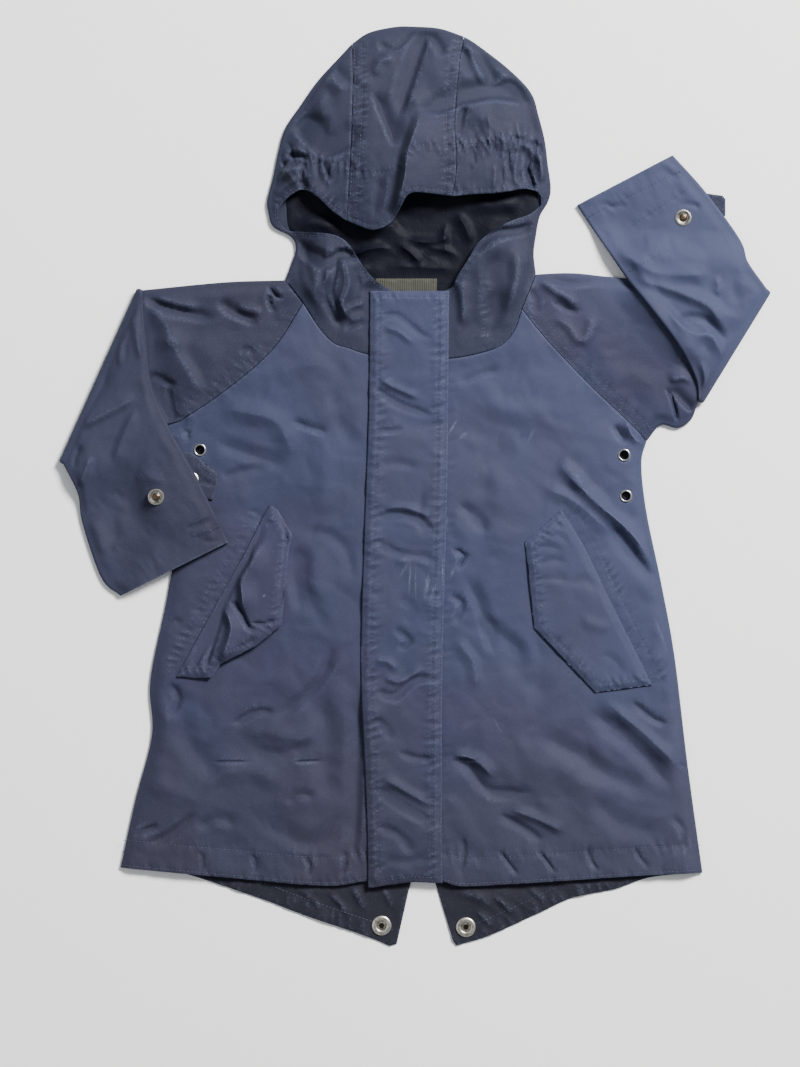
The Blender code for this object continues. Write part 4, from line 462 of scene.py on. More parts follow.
HOOD_FOLDS = [
    ([(10.4, 346.2), (1.1, 319.8), (-7.4, 292.6), (-13.1, 272.2)], 6, 13, -8.15, 0.52),
    ([(1.1, 282.1), (2.8, 273.9), (-1.8, 260.3), (-6.6, 245), (-7.6, 231.4), (-12.5, 211),
      (-16.8, 199.1)], 26, 6, 9.96, 0.6),
    ([(0.2, 283.2), (15.5, 283.2), (27.4, 287.8), (42.7, 291.8), (58, 295.2), (78.4, 292.6),
      (88.6, 285.8)], 17, 8, -9.96, 0.45),
    ([(-92.4, 274.8), (-78, 261.2), (-68.6, 251.8), (-57.6, 253.5), (-49.1, 258.6),
      (-37.2, 265.4)], 22, 8, -10.88, 0.45),
    ([(-29.5, 336), (-23.6, 330), (-15.1, 328.3), (-6.6, 335.1), (1.1, 342.8)], 5, 4, -2.09, 0.6),
    ([(8.7, 341.9), (17.2, 331.7), (22.3, 321.5)], 7, 6, -3.19, 0.38),
    ([(37.6, 338.5), (44.4, 318.1), (54.6, 297.7)], 10, 6, 4.71, 0.38),
    ([(51.2, 296), (63.1, 304.5), (73.3, 313)], 6, 6, 1.64, 0.38),
    ([(-69.5, 321.5), (-61, 304.5), (-50.8, 294.3)], 8, 10, 3.99, 0.3),
    ([(-97.5, 243.3), (-89, 234.8), (-82.2, 226.3)], 5, 5, 2.54, 0.52),
    ([(-95.8, 250.1), (-84.8, 248.4), (-81.1, 234.8), (-81.1, 222.1)], 3, 3, -2.09, 0.6),
    ([(-106.9, 217.8), (-95, 226.3), (-83.9, 228.9)], 4, 4, 1.94, 0.45),
    ([(84.4, 235.7), (90.3, 243.3), (99.7, 246.7)], 5, 5, 2.84, 0.52),
    ([(82.1, 234), (88.9, 228.9), (84.4, 222.1)], 3, 3, -2.24, 0.6),
    ([(88.9, 260.3), (95.4, 253.5), (101.4, 246.7)], 3, 3, -2.09, 0.6),
    ([(-69.5, 250.1), (-68.6, 238.2), (-66.1, 224.6)], 3, 3, 1.35, 0.45),
    ([(-61, 243.3), (-63.5, 233.1), (-64.4, 221.2)], 3, 3, 1.13, 0.45),
    ([(-74.6, 251.8), (-73.8, 241.6), (-71.2, 228)], 3, 3, -1.05, 0.45),
    ([(-25.3, 231.4), (-28.7, 214.4), (-30.4, 199.1)], 4, 4, -1.35, 0.45),
    ([(-19.3, 234.8), (-21.6, 216.1), (-25.3, 200.8)], 4, 4, 1.13, 0.38),
    ([(54.3, 280.7), (56, 265.4), (54.6, 251.8)], 4, 3, 1.49, 0.52),
    ([(58.9, 265.4), (59.7, 255.2), (58, 243.3)], 3, 3, -1.49, 0.6),
    ([(64, 268.8), (66.2, 255.2), (64.8, 241.6)], 3, 3, 1.49, 0.52),
    ([(69.9, 258.6), (70.2, 245), (71.6, 229.7)], 2.6, 3, -1.94, 0.6),
    ([(75.9, 275.6), (78.1, 260.3), (75.9, 246.7)], 3, 3, 1.79, 0.52),
    ([(80.1, 260.3), (79.3, 248.4), (77.6, 234.8)], 3, 3, -1.49, 0.6),
    ([(85.2, 262), (86.2, 248.4), (82.7, 238.2)], 3, 3, 1.49, 0.52),
    ([(46.1, 258.6), (44.4, 248.4), (45.3, 238.2)], 3, 3, -1.2, 0.52),
    ([(50.4, 265.4), (51.2, 251.8), (51.2, 241.6)], 3, 3, 1.05, 0.45),
    ([(39.3, 258.6), (41.9, 245), (40.2, 231.4)], 4, 4, -1.05, 0.45),
    ([(58.9, 241.6), (59.7, 231.4), (58.3, 222.9)], 3, 3, 1.35, 0.52),
    ([(64.8, 239.9), (65.7, 229.7), (64.5, 222.9)], 2.6, 2.6, -1.35, 0.6),
    ([(75, 241.6), (74.7, 231.4), (75.9, 224.6)], 3, 3, 1.35, 0.52),
    ([(79.3, 238.2), (78.7, 229.7), (80.1, 224.6)], 2.4, 2.4, -1.49, 0.6),
    ([(61.4, 251.8), (69.9, 249.2), (81.8, 251.8)], 3, 3, -0.9, 0.45),
    ([(-95.8, 258.6), (-91.6, 251.8), (-89, 243.3)], 3, 3, -1.35, 0.52),
    ([(-89, 258.6), (-86.2, 250.1), (-83.9, 241.6)], 3, 3, 1.2, 0.52),
    ([(-83.9, 256.9), (-80.5, 248.4), (-78.8, 238.2)], 3, 3, -1.2, 0.52),
    ([(37.6, 285.8), (34.2, 272.2), (33.4, 262)], 4, 8, -3.99, 0.3),
    ([(-100.1, 190.6), (-74.6, 193.2), (-50.8, 190.6), (-42.3, 180.4), (-32.9, 161.7),
      (-23.6, 149.8)], 5, 6, 3.37, 0.45),
    ([(-85.6, 180.4), (-74.6, 171.9), (-66.9, 167.7), (-54.2, 175.3), (-42.3, 168.5)], 5, 9, -9.06, 0.45),
    ([(-66.9, 178.7), (-65.8, 160), (-68.6, 148.1), (-65.2, 134.5)], 4, 4, 3.29, 0.52),
    ([(-58.4, 175.3), (-59, 160), (-61.8, 146.4), (-57.6, 131.1), (-53.3, 120.9)], 4, 4, -2.47, 0.6),
    ([(-52.5, 171.9), (-49.1, 151.5), (-54.2, 136.2), (-49.1, 122.6)], 5, 5, 2.84, 0.45),
    ([(-69.5, 156.6), (-66.9, 141.3), (-59.3, 126), (-53.3, 117.5)], 3.5, 4, -2.47, 0.6),
    ([(-80.5, 175.3), (-80.5, 160), (-74.6, 146.4), (-66.9, 134.5)], 6, 5, -1.52, 0.38),
    ([(-44, 160), (-40.6, 146.4), (-44, 134.5)], 4, 5, -1.79, 0.45),
    ([(-57.6, 126.8), (-47.4, 134.5), (-35.5, 137.9)], 4, 4, 2.09, 0.45),
    ([(-52.5, 116.7), (-44, 122.6), (-34.6, 122.6)], 4, 4, -2.09, 0.45),
    ([(-89, 168.5), (-90.8, 156.6), (-86.5, 141.3)], 5, 6, 1.49, 0.22),
    ([(37.6, 171.9), (46.1, 180.4), (59.7, 189.8), (76.7, 193.2), (90.3, 198.2)], 4, 8, -7.97, 0.45),
    ([(58, 180.4), (59.7, 148.1), (56.3, 119.2)], 16, 12, -4.35, 0.08),
    ([(76.7, 180.4), (78.4, 148.1), (73.3, 126)], 12, 10, 3.99, 0.08),
    ([(30.8, 146.4), (32.5, 131.1), (31.7, 115.8)], 5, 6, -1.35, 0.3),
    ([(37.6, 158.3), (35.9, 139.6), (37.6, 119.2)], 6, 7, 2.61, 0.22),
    ([(52.9, 115.8), (61.4, 110.7), (71.6, 122.6)], 5, 6, -1.2, 0.22),
    ([(-31, 297), (-26, 284), (-20, 268), (-14, 252)], 15, 4, -5.62, 0.5),
    ([(75, 258.4), (86, 252.4), (93, 243.4), (95, 232)], 7, 6, 3.4, 0.6),
    ([(85.5, 238.4), (87, 228), (90, 221.8)], 3, 3, -3.2, 0.7),
    ([(72, 261.4), (88, 257.5), (95, 252.4)], 4, 3.5, -2.8, 0.6),
    ([(-105, 227), (-96, 235.9), (-84, 237.4), (-79.5, 225.4)], 5, 6, 3.2, 0.6),
    ([(-86, 230), (-81.5, 219.4)], 3, 3, -3.4, 0.7),
    ([(-97, 245), (-101, 231.4)], 3, 3, -2.6, 0.7),
    ([(-97.5, 250.4), (-88, 252), (-78, 247.9)], 5, 4, 2.2, 0.5),
    ([(-70.5, 244.4), (-66, 236), (-63, 227)], 4, 4, -2.4, 0.6),
    ([(-66, 178), (-67.5, 155), (-63, 131), (-50, 117.4)], 6.6, 8.8, -2.89, 0.3),
    ([(-55.5, 177.4), (-52.5, 153.4), (-55.5, 135.4), (-42, 121)], 5, 4, 1.98, 0.5),
    ([(-94, 181), (-80, 177), (-64, 168)], 8, 8, -5.5, 0.2),
    ([(30, 262), (42, 266), (50, 262)], 12, 8, -3, 0.3),
    ([(-14, 322), (-26, 318), (-30, 306)], 8, 6, 3, 0.4),
    ([(30, 330), (46, 318), (64, 302)], 8, 14, -3.4, 0.3),
    ([(-84, 280), (-78, 262), (-66, 254)], 14, 8, -4, 0.4),
    ([(-60, 312), (-70, 290), (-66, 270)], 10, 10, 2.8, 0.2),
    ([(58, 150), (60, 128), (52, 112)], 12, 10, -2.6, 0.2),
    ([(76, 186), (78, 160), (72, 138)], 10, 10, 2.2, 0.2),
    ([(87.5, 250), (84.5, 236), (90, 222)], 3, 5, -4.2, 0.6),
    ([(92, 252), (95, 240), (94, 228)], 5, 5, 4.6, 0.5),
    ([(-97.5, 249), (-88, 247.5), (-79, 244)], 4, 3, -3.4, 0.6),
    ([(-82.5, 243), (-84.5, 231), (-78.5, 219.5)], 4, 4, -4.2, 0.6),
    ([(-103, 238), (-95.5, 235), (-89, 227)], 6, 6, 4.6, 0.5),
]
PLACKET_FOLDS = [
    ([(-31.3, 127.4), (-13.5, 128.6), (4.3, 114.7), (16.1, 110.2)], 4, 5, -1.93, 0.49),
    ([(-25.4, 119.1), (-13.5, 116.8), (-0.2, 105.8)], 4, 4, 1.45, 0.43),
    ([(-31.3, 77), (-23, 69.3), (-7.6, 60.4), (13.7, 53.3)], 4, 6, -3.62, 0.62),
    ([(-28.3, 82.1), (-16.5, 74.7), (4.3, 65.8)], 6, 4, 2.42, 0.49),
    ([(-31.3, 44.4), (-19.4, 42.1), (-7.6, 44.4)], 4, 4, -1.69, 0.49),
    ([(-28.3, 15.4), (-13.5, 17.8), (4.3, 13.9)], 6, 6, -1.45, 0.3),
    ([(-31.3, -23.1), (-13.5, -20.8), (4.3, -25.5), (16.7, -35.6)], 5, 6, -3.14, 0.55),
    ([(-25.4, -16.6), (-7.6, -15.7), (13.2, -23.1)], 6, 4, 2.17, 0.43),
    ([(-31.3, -38.6), (-13.5, -49.2), (14.6, -53.4)], 5, 6, -2.66, 0.49),
    ([(-16.5, -58.7), (-1.7, -52.8), (13.2, -61.7)], 6, 6, 1.45, 0.3),
    ([(-13.5, -82.4), (-1.7, -91.3), (-7.6, -103.2)], 6, 6, -1.45, 0.36),
    ([(-16.5, -105.5), (-4, -115.6), (-13.5, -122.4)], 5, 5, -2.9, 0.55),
    ([(-31.3, -129.8), (-19.4, -131.3), (-13.5, -138.7)], 5, 5, 1.93, 0.43),
    ([(-31.3, -150.6), (-16.5, -157.1), (-1.7, -145.3), (14.6, -141.7)], 5, 6, -3.62, 0.55),
    ([(-25.4, -141.7), (-10.6, -146.1), (7.2, -134.3)], 6, 4, 2.17, 0.43),
    ([(-31.3, -173.7), (-22.4, -180.2), (-16.5, -190.6)], 5, 5, -2.42, 0.49),
    ([(-13.5, -198), (-0.2, -202.5), (14.6, -203.9)], 4, 5, -1.93, 0.49),
    ([(-28.3, -224.1), (-13.5, -236.5), (14.6, -252)], 5, 7, -3.62, 0.55),
    ([(-25.4, -217.3), (-7.6, -227.7), (13.2, -239.5)], 7, 5, 2.66, 0.43),
    ([(-31.3, -254.3), (-13.5, -259.7), (-0.2, -275.7)], 5, 6, -2.17, 0.43),
    ([(7.2, 0.6), (4.3, -23.1), (8.7, -40.9)], 5, 6, -1.21, 0.3),
    ([(-25.4, -278), (-7.6, -281), (13.2, -275.1)], 6, 6, -1.21, 0.3),
]
FLAP_RIGHT_FOLDS = [
    ([(-111.8, -19.8), (-119.2, -41.6), (-129.1, -60.2), (-140, -77.7), (-153.1, -107.1),
      (-166.2, -132.3), (-172.2, -140.4)], 6, 5, -5.5, 0.7),
    ([(-118.1, -36.2), (-122, -55.8), (-129.6, -68.9), (-129.1, -85.3),
      (-126.9, -97.3)], 15, 5, 5, 0.7),
    ([(-140, -86.4), (-133.4, -88.6), (-128.8, -96.2), (-124.7, -105),
      (-118.1, -106.6)], 3.5, 4, -4.75, 0.8),
    ([(-143.3, -88.6), (-139.8, -97.3), (-137.8, -107.1), (-142.7, -123.5),
      (-148.7, -132.3)], 10, 5, 5.25, 0.6),
    ([(-143, -90.8), (-147.6, -107.1), (-152, -121.3), (-157.5, -138.8)], 3.5, 3.5, -3.5, 0.8),
    ([(-148.7, -111.5), (-159.6, -125.7), (-167.3, -138.8)], 3, 3, -3.25, 0.8),
    ([(-101.8, -22), (-96.3, -34), (-96.3, -58), (-99.6, -86.4)], 2.5, 3, -3.75, 0.8),
    ([(-91.7, -39.4), (-95, -64.6), (-98.3, -90.8)], 2.2, 2.2, 3.5, 0.6),
    ([(-124.7, -101.7), (-112.7, -102.2), (-101.8, -98.4)], 3, 3, -2, 0.7),
    ([(-135.6, -122.4), (-126.9, -118.1), (-118.1, -113.7)], 4, 4, -1.5, 0.5),
    ([(-107.2, -25.2), (-111.6, -28.5)], 3, 3, -1.25, 0.5),
]
# x0, y0, x1, y1, bend, width at start, width at end, height, crispness, skew. A crease runs from
# (x0, y0) to (x1, y1), bends to its left by bend, is a ridge (height > 0) or a trough, has a sharp
# crest where crispness is 1, and is broader on its left side where skew is positive.
FLAP_LEFT_CREASES = [
    (88, -46, 112, -50, 3, 4, 6, -0.9, 0.5, 0),
    (90, -60, 116, -58, 4, 5, 6, -1, 0.4, 0),
    (90, -72, 118, -72, 3, 5, 6, -1.1, 0.4, 0.2),
    (112, -76, 140, -82, 9, 7, 8, -1.2, 0.2, 0),
    (122, -96, 152, -104, -4, 7, 8, 1, 0.2, 0),
    (96, -110, 118, -128, 2, 6, 6, -0.8, 0.3, 0),
    (138, -124, 158, -142, 3, 6, 6, -0.9, 0.4, 0),
    (100, -34, 116, -44, 2, 5, 5, -0.9, 0.4, 0),
]
TAIL_CREASES = [
    (-150, -292, -60, -306, 3, 8, 8, 1.6, 0.2, 0),
    (-84, -304, -70, -318, 1, 3, 4, 1.8, 0.6, 0),
    (-66, -304, -50, -324, 2, 3, 4, 2, 0.6, 0),
    (-48, -298, -36, -320, 0, 4, 5, 1.6, 0.5, 0),
    (-24, -300, -16, -318, 0, 4, 4, 1.2, 0.5, 0),
    (22, -298, 62, -318, 3, 8, 8, 1.8, 0.3, 0),
    (58, -306, 76, -322, 0, 3, 4, 1.8, 0.6, 0),
    (84, -300, 100, -312, 0, 3, 4, 1.5, 0.6, 0),
    (110, -298, 150, -298, 1, 5, 6, 1, 0.3, 0),
    (46, -318, 58, -332, 1, 3, 4, 1.3, 0.5, 0),
]
TAB_CREASES = [
    (-170, 4, -148, 1, 1, 2.6, 3.2, -1.4, 0.8, 0),
    (-166, 14, -154, 4, -2, 3, 3, -0.9, 0.6, 0),
    (-160, 18, -150, 8, -1, 2.4, 2.4, 0.7, 0.6, 0),
]
LINING_CREASES = [
    (-50, 170, -14, 178, 4, 5, 7, 4, 0.6, 0.2),
    (-40, 164, -10, 172, 2, 4, 5, -2, 0.5, 0),
    (-14, 182, 6, 164, 2, 5, 6, 4, 0.6, 0.2),
    (-6, 186, 30, 190, -5, 6, 8, 4.4, 0.5, 0.3),
    (4, 178, 34, 172, 3, 5, 6, 3, 0.5, 0),
    (-34, 186, -10, 196, 3, 6, 7, 3, 0.4, 0),
    (30, 206, 42, 180, 2, 6, 7, 4, 0.5, 0),
    (40, 208, 84, 208, 4, 9, 9, 4, 0.3, 0),
    (24, 200, 26, 172, -3, 5, 6, 3, 0.5, 0),
    (-90, 200, -56, 192, 2, 7, 7, 3, 0.3, 0),
    (-20, 165, 24, 163, 1, 4, 4, 1.6, 0.4, 0),
]
# Sewn lines of each layer: curve, offset to its left, pucker reach, pucker height, pucker pitch,
# whether its threads show.
SEWN = {
    "body": [
        ("hem_right", 21, 7, 0.75, 9, True),
        ("hem_right", 2.2, 5, 0.6, 8, True),
        ("hem_left", 21, 7, 0.75, 9, True),
        ("hem_left", 2.2, 5, 0.6, 8, True),
        ("raglan_right", -8.4, 5, 0.8, 7, True),
        ("raglan_right", -1.8, 4, 0.6, 6, True),
        ("raglan_left", 8.4, 5, 0.8, 7, True),
        ("raglan_left", 1.8, 4, 0.6, 6, True),
        ("neck_right", -1.8, 4, 0.5, 8, False),
        ("neck_left", 1.8, 4, 0.5, 8, False),
        ("flap_seam_left", 9, 5, 0.9, 7, True),
        ("flap_seam_left", 1.6, 4, 0.5, 6, True),
        ("flap_seam_right", -9, 5, 0.9, 7, True),
        ("flap_seam_right", -1.6, 4, 0.5, 6, True),
        ("placket_sewn", 2.2, 5, 0.5, 9, False),
    ],
    "hood": [
        ("hood_seam_right", 7, 5, 1, 6.5, True),
        ("hood_seam_right", 1.6, 3, 0.5, 6, True),
        ("hood_seam_left", -6.6, 5, 0.9, 6.5, True),
        ("hood_seam_left", -1.6, 3, 0.5, 6, True),
        ("casing_right", 0, 8, 1.5, 6, True),
        ("casing_centre", 0, 6, 0.7, 7, True),
        ("casing_left", 0, 9, 1.8, 6, True),
        ("brim_left", 3, 6, 0.8, 7, True),
        ("brim_centre", 3, 5, 0.4, 8, True),
        ("brim_right", 3, 6, 0.8, 7, True),
        ("hood_dart", 0, 5, 0.9, 7, True),
        ("collar_right", -2.4, 4, 0.4, 8, True),
        ("collar_left", 2.4, 4, 0.4, 8, True),
        ("neck_left", -1.8, 4, 0.6, 8, False),
    ],
    "placket": [
        ("placket_free", 7.4, 6, 1.05, 8, True),
        ("placket_free", 1.6, 4, 0.5, 7, False),
        ("placket_sewn", -7.4, 6, 1.05, 8, True),
        ("placket_sewn", -1.4, 4, 0.5, 6, True),
        ("placket_top", 4, 4, 0.5, 7, True),
        ("placket_hem", 4, 4, 0.6, 8, True),
    ],
    "pocket_flap_left": [
        ("flap_free_left", 6.2, 5, 0.8, 7, True),
        ("flap_free_left", 1.5, 3, 0.4, 6, False),
    ],
    "pocket_flap_right": [
        ("flap_free_right", -5.4, 5, 0.7, 7, True),
    ],
    "sleeve_right": [
        ("elbow_patch_right", 0, 4, 0.4, 9, True),
        ("cuff_facing_right", 0, 4, 0.4, 9, True),
        ("cuff_hem_right", 0, 6, 0.5, 8, True),
    ],
    "sleeve_left": [
        ("elbow_patch_left", 0, 4, 0.4, 9, True),
        ("cuff_facing_left", 0, 4, 0.4, 9, True),
        ("cuff_hem_left", 0, 6, 0.5, 8, True),
    ],
    "cuff_tab_right": [
        ("tab_stitch_right", 0, 4, 0.8, 5, True),
    ],
    "cuff_tab_left": [
        ("tab_stitch_left", 0, 4, 0.5, 5, True),
    ],
    "tail": [
        ("tail_right", 4, 6, 0.9, 9, False),
        ("tail_left", -4, 6, 0.9, 9, False),
        ("tail_right", 12, 6, 0.6, 8, True),
        ("tail_left", -12, 6, 0.6, 8, True),
    ],
}


# ---------------------------------------------------------------- curves, loops and distances
def curve(points, step, pieces=0):
    """Points about a step apart, or in a set number of pieces, along a smooth curve."""
    given = np.array(points, float)
    if len(given) == 2:
        dense = given
    else:
        padded = np.vstack([2 * given[0] - given[1], given, 2 * given[-1] - given[-2]])
        dense = []
        for a, b, c, d in zip(padded, padded[1:], padded[2:], padded[3:]):
            for t in np.linspace(0.0, 1.0, CURVE_SAMPLES, endpoint=False):
                dense.append(0.5 * (2 * b + (c - a) * t + (2 * a - 5 * b + 4 * c - d) * t ** 2
                                    + (3 * b - a - 3 * c + d) * t ** 3))
        dense = np.array(dense + [given[-1]])
    along = np.concatenate([[0.0], np.cumsum(np.linalg.norm(np.diff(dense, axis=0), axis=1))])
    pieces = pieces or max(1, round(along[-1] / step))
    marks = np.linspace(0.0, along[-1], pieces + 1)
    return np.stack([np.interp(marks, along, dense[:, axis]) for axis in (0, 1)], axis=1)


def straight(points, step):
    """Points along straight sides through the given corners."""
    sides = [curve(pair, step)[:-1] for pair in zip(points, points[1:])]
    return np.vstack(sides + [np.array(points[-1:])])


def loop_of(*parts):
    """Join open curves, each starting where the last one ended, into one closed loop."""
    return np.vstack([part[:-1] for part in parts])


def signed_area(loop):
    """Positive where the loop runs counter-clockwise."""
    ahead = np.roll(loop, -1, axis=0)
    return 0.5 * np.sum(loop[:, 0] * ahead[:, 1] - ahead[:, 0] * loop[:, 1])


def inset(loop, amounts):
    """Move each side of a counter-clockwise loop inwards by its own amount."""
    amounts = np.broadcast_to(np.asarray(amounts, float), len(loop))
    sides = np.roll(loop, -1, axis=0) - loop
    sides /= np.linalg.norm(sides, axis=1)[:, None]
    inward = np.stack([-sides[:, 1], sides[:, 0]], axis=1)
    moved = []
    for i, point in enumerate(loop):
        n0, n1 = inward[i - 1], inward[i]
        a0, a1 = amounts[i - 1], amounts[i]
        cross = n0[0] * n1[1] - n0[1] * n1[0]
        if abs(cross) > MITRE_LEAST:
            shift = np.array([(a0 * n1[1] - a1 * n0[1]) / cross, (n0[0] * a1 - n1[0] * a0) / cross])
        else:
            middle = n0 + n1
            shift = middle / np.dot(middle, middle) * (a0 + a1)
        moved.append(point + shift)
    return np.array(moved)


def beside(points, distance):
    """A curve moved to its left by a distance."""
    along = np.diff(points, axis=0)
    along /= np.linalg.norm(along, axis=1)[:, None]
    normals = np.column_stack([-along[:, 1], along[:, 0]])
    middle = np.vstack([normals[:1], normals]) + np.vstack([normals, normals[-1:]])
    return points + distance * 2 * middle / np.sum(middle ** 2, axis=1)[:, None]


def inside(points, loop):
    """Which points lie inside a loop, by counting its sides to their left."""
    x, y = points[:, 0:1], points[:, 1:2]
    x0, y0 = loop[:, 0], loop[:, 1]
    x1, y1 = np.roll(x0, -1), np.roll(y0, -1)
    spans = (y0 > y) != (y1 > y)
    rise = np.where(y1 == y0, 1e-12, y1 - y0)
    crossing = x < x0 + (y - y0) * (x1 - x0) / rise
    return np.sum(spans & crossing, axis=1) % 2 == 1


def nearest(points, line):
    """Signed distance (positive on the left) and length along a chain of points."""
    starts, along = line[:-1], np.diff(line, axis=0)
    lengths = np.maximum(np.linalg.norm(along, axis=1), 1e-9)
    before = np.concatenate([[0.0], np.cumsum(lengths)[:-1]])
    distance, arc = np.empty(len(points)), np.empty(len(points))
    for first in range(0, len(points), CHUNK):
        offset = points[first:first + CHUNK, None] - starts[None]
        share = np.clip(np.sum(offset * along, axis=2) / lengths ** 2, 0.0, 1.0)
        away = offset - share[..., None] * along
        size = np.linalg.norm(away, axis=2)
        best = size.argmin(axis=1)
        rows = np.arange(len(best))
        side = along[best, 0] * away[rows, best, 1] - along[best, 1] * away[rows, best, 0]
        distance[first:first + CHUNK] = size[rows, best] * np.where(side < 0, -1.0, 1.0)
        arc[first:first + CHUNK] = before[best] + share[rows, best] * lengths[best]
    return distance, arc


def distance_to(points, line):
    return np.abs(nearest(points, line)[0])


def outside_by(points, loop):
    """How far each point lies outside a loop; nothing inside it."""
    return np.where(inside(points, loop), 0.0, distance_to(points, closed(loop)))


def at_least(value, limit, soft=0.5):
    """The larger of the two, with a rounded change between them."""
    over = value - limit
    return limit + 0.5 * (over + np.sqrt(over ** 2 + soft ** 2))


def closed(loop):
    """A loop with its first point again at its end."""
    return np.vstack([loop, loop[:1]])


def counter_clockwise(loop):
    return loop if signed_area(loop) > 0 else loop[::-1]


def least_distance(points, names):
    """Distance to the nearest of the named outline curves."""
    return np.min([distance_to(points, coarse[name]) for name in names], axis=0)


def smooth(value):
    """An even ramp from 0 to 1."""
    value = np.clip(value, 0.0, 1.0)
    return value * value * (3.0 - 2.0 * value)


# ---------------------------------------------------------------- relief
def noise(points, size, seed):
    """Smooth lumps of about a size, between -1 and 1."""
    turns = np.random.default_rng(seed).uniform(0.0, 2 * math.pi, (NOISE_CELLS, NOISE_CELLS))
    scaled = points / size
    cell = np.floor(scaled).astype(int)
    part = scaled - cell
    fade = part ** 3 * (part * (part * 6 - 15) + 10)
    total = np.zeros(len(points))
    for dx in (0, 1):
        for dy in (0, 1):
            angle = turns[(cell[:, 0] + dx) % NOISE_CELLS, (cell[:, 1] + dy) % NOISE_CELLS]
            slope = np.cos(angle) * (part[:, 0] - dx) + np.sin(angle) * (part[:, 1] - dy)
            weight_x = fade[:, 0] if dx else 1 - fade[:, 0]
            weight_y = fade[:, 1] if dy else 1 - fade[:, 1]
            total += slope * weight_x * weight_y
    return NOISE_GAIN * total


def swell(points):
    """Broad, low waves that every layer of the body shares."""
    lumps = sum(height * noise(points + shift, size, seed) for height, size, seed, shift in SWELL_WAVES)
    return LOFT + lumps + fold_heights(points, SHARED_RIDGES)


def crumple(points, seed):
    """Soft crumpling with crisp little ridges."""
    pushes = [noise(points, CRUMPLE_PUSH_SIZE, seed + axis) for axis in (0, 1)]
    warped = points + CRUMPLE_PUSH * np.column_stack(pushes)
    total = np.zeros(len(points))
    for number, (size, height) in enumerate(CRUMPLE_LUMPS):
        lump = noise(warped, size, seed + 2 + number)
        ridge = CRUMPLE_LEVEL - np.sqrt(lump ** 2 + RIDGE_SOFT)
        total += height * ridge + CRUMPLE_ROUND * abs(height) * lump
    return total


def crest_profile(away, crisp):
    """Height of a fold across its width, from 1 on its crest to 0 at its edge, round or crisp."""
    return (1 - crisp) * smooth(1 - away) + crisp * (1 - away) ** 2


def near_line(points, line, reach):
    """Numbers of the points in the box round a line."""
    boxed = (points > line.min(axis=0) - reach) & (points < line.max(axis=0) + reach)
    return np.flatnonzero(np.all(boxed, axis=1))


def crease_heights(points, table):
    """Sum of the curved ridges and troughs of one table."""
    total = np.zeros(len(points))
    for x0, y0, x1, y1, bend, width0, width1, height, crisp, skew in table:
        start, along = np.array([x0, y0]), np.array([x1 - x0, y1 - y0], float)
        length = np.linalg.norm(along)
        along /= length
        local = points - start
        u = local @ along / length
        v = local @ np.array([-along[1], along[0]])
        reach = max(width0, width1) * (1 + abs(skew))
        near = np.flatnonzero((u > 0.0) & (u < 1.0) & (np.abs(v) < reach + abs(bend)))
        u, v = u[near], v[near]
        v = v - 4 * bend * u * (1 - u)
        width = (width0 + (width1 - width0) * u) * np.where(v > 0, 1 + skew, 1 - skew)
        away = np.clip(np.abs(v) / width, 0.0, 1.0)
        total[near] += height * crest_profile(away, crisp) * smooth(CREASE_ENDS * np.minimum(u, 1 - u))
    return total


def fold_heights(points, table):
    """Sum of the long curved folds of one table, each with its own width to either side."""
    total = np.zeros(len(points))
    for path, left, right, height, crisp in table:
        line = curve(path, FOLD_STEP)
        near = near_line(points, line, max(left, right))
        if not len(near):
            continue
        distance, arc = nearest(points[near], line)
        length = np.sum(np.linalg.norm(np.diff(line, axis=0), axis=1))
        share = arc / length
        away = np.clip(np.abs(distance) / np.where(distance > 0, left, right), 0.0, 1.0)
        ends = smooth(FOLD_ENDS * np.minimum(share, 1 - share))
        total[near] += height * crest_profile(away, crisp) * ends
    return total


def sewn_heights(points, rows, seed):
    """Puckers that cross sewn lines, and the shallow groove of the stitches."""
    total = np.zeros(len(points))
    for number, (line, reach, height, pitch, threads) in enumerate(rows):
        close = near_line(points, line, PUCKER_SPAN * reach)
        if not len(close):
            continue
        distance, arc = nearest(points[close], line)
        lean = np.column_stack([arc + PUCKER_SLANT * distance, PUCKER_STRETCH * distance])
        wave = noise(lean, pitch, seed + number)
        finer = noise(lean, PUCKER_RIDGE_SIZE * pitch, seed + number + RIDGE_SEED)
        ridges = PUCKER_LEVEL - PUCKER_RIDGES * np.sqrt(finer ** 2 + RIDGE_SOFT)
        total[close] += height * (PUCKER_WAVES * wave + ridges) * np.exp(-(distance / reach) ** 2)
        if threads:
            total[close] -= GROOVE_DEPTH * np.exp(-(distance / GROOVE_WIDTH) ** 2)
    return total


def clear_of_hardware(points):
    """0 at a snap or eyelet and 1 away from it, so that no crease meets it."""
    clear = np.ones(len(points))
    for spot in [*EYELETS.values(), *SNAPS]:
        away = np.linalg.norm(points - np.array(spot), axis=1)
        clear *= smooth((away - HARDWARE_CLEAR) / HARDWARE_REACH)
    return clear


# ---------------------------------------------------------------- shared seams
def sample_seams(step):
    """Every outline curve, sampled once, so that neighbours share their points."""
    found = {}
    for name, points in OUTLINES.items():
        if name in CORNERED:
            found[name] = straight(points, step)
        elif name in TWINS:
            found[name] = curve(points, step, pieces=len(found[TWINS[name]]) - 1)
        else:
            found[name] = curve(points, step)
    return found


def chain(names, seams):
    """The named curves in their order, each the way it runs."""
    return [seams[name[1:]][::-1] if name[0] == "-" else seams[name] for name in names.split()]


def chain_loops(chains, seams):
    return {name: loop_of(*chain(names, seams)) for name, names in chains.items()}


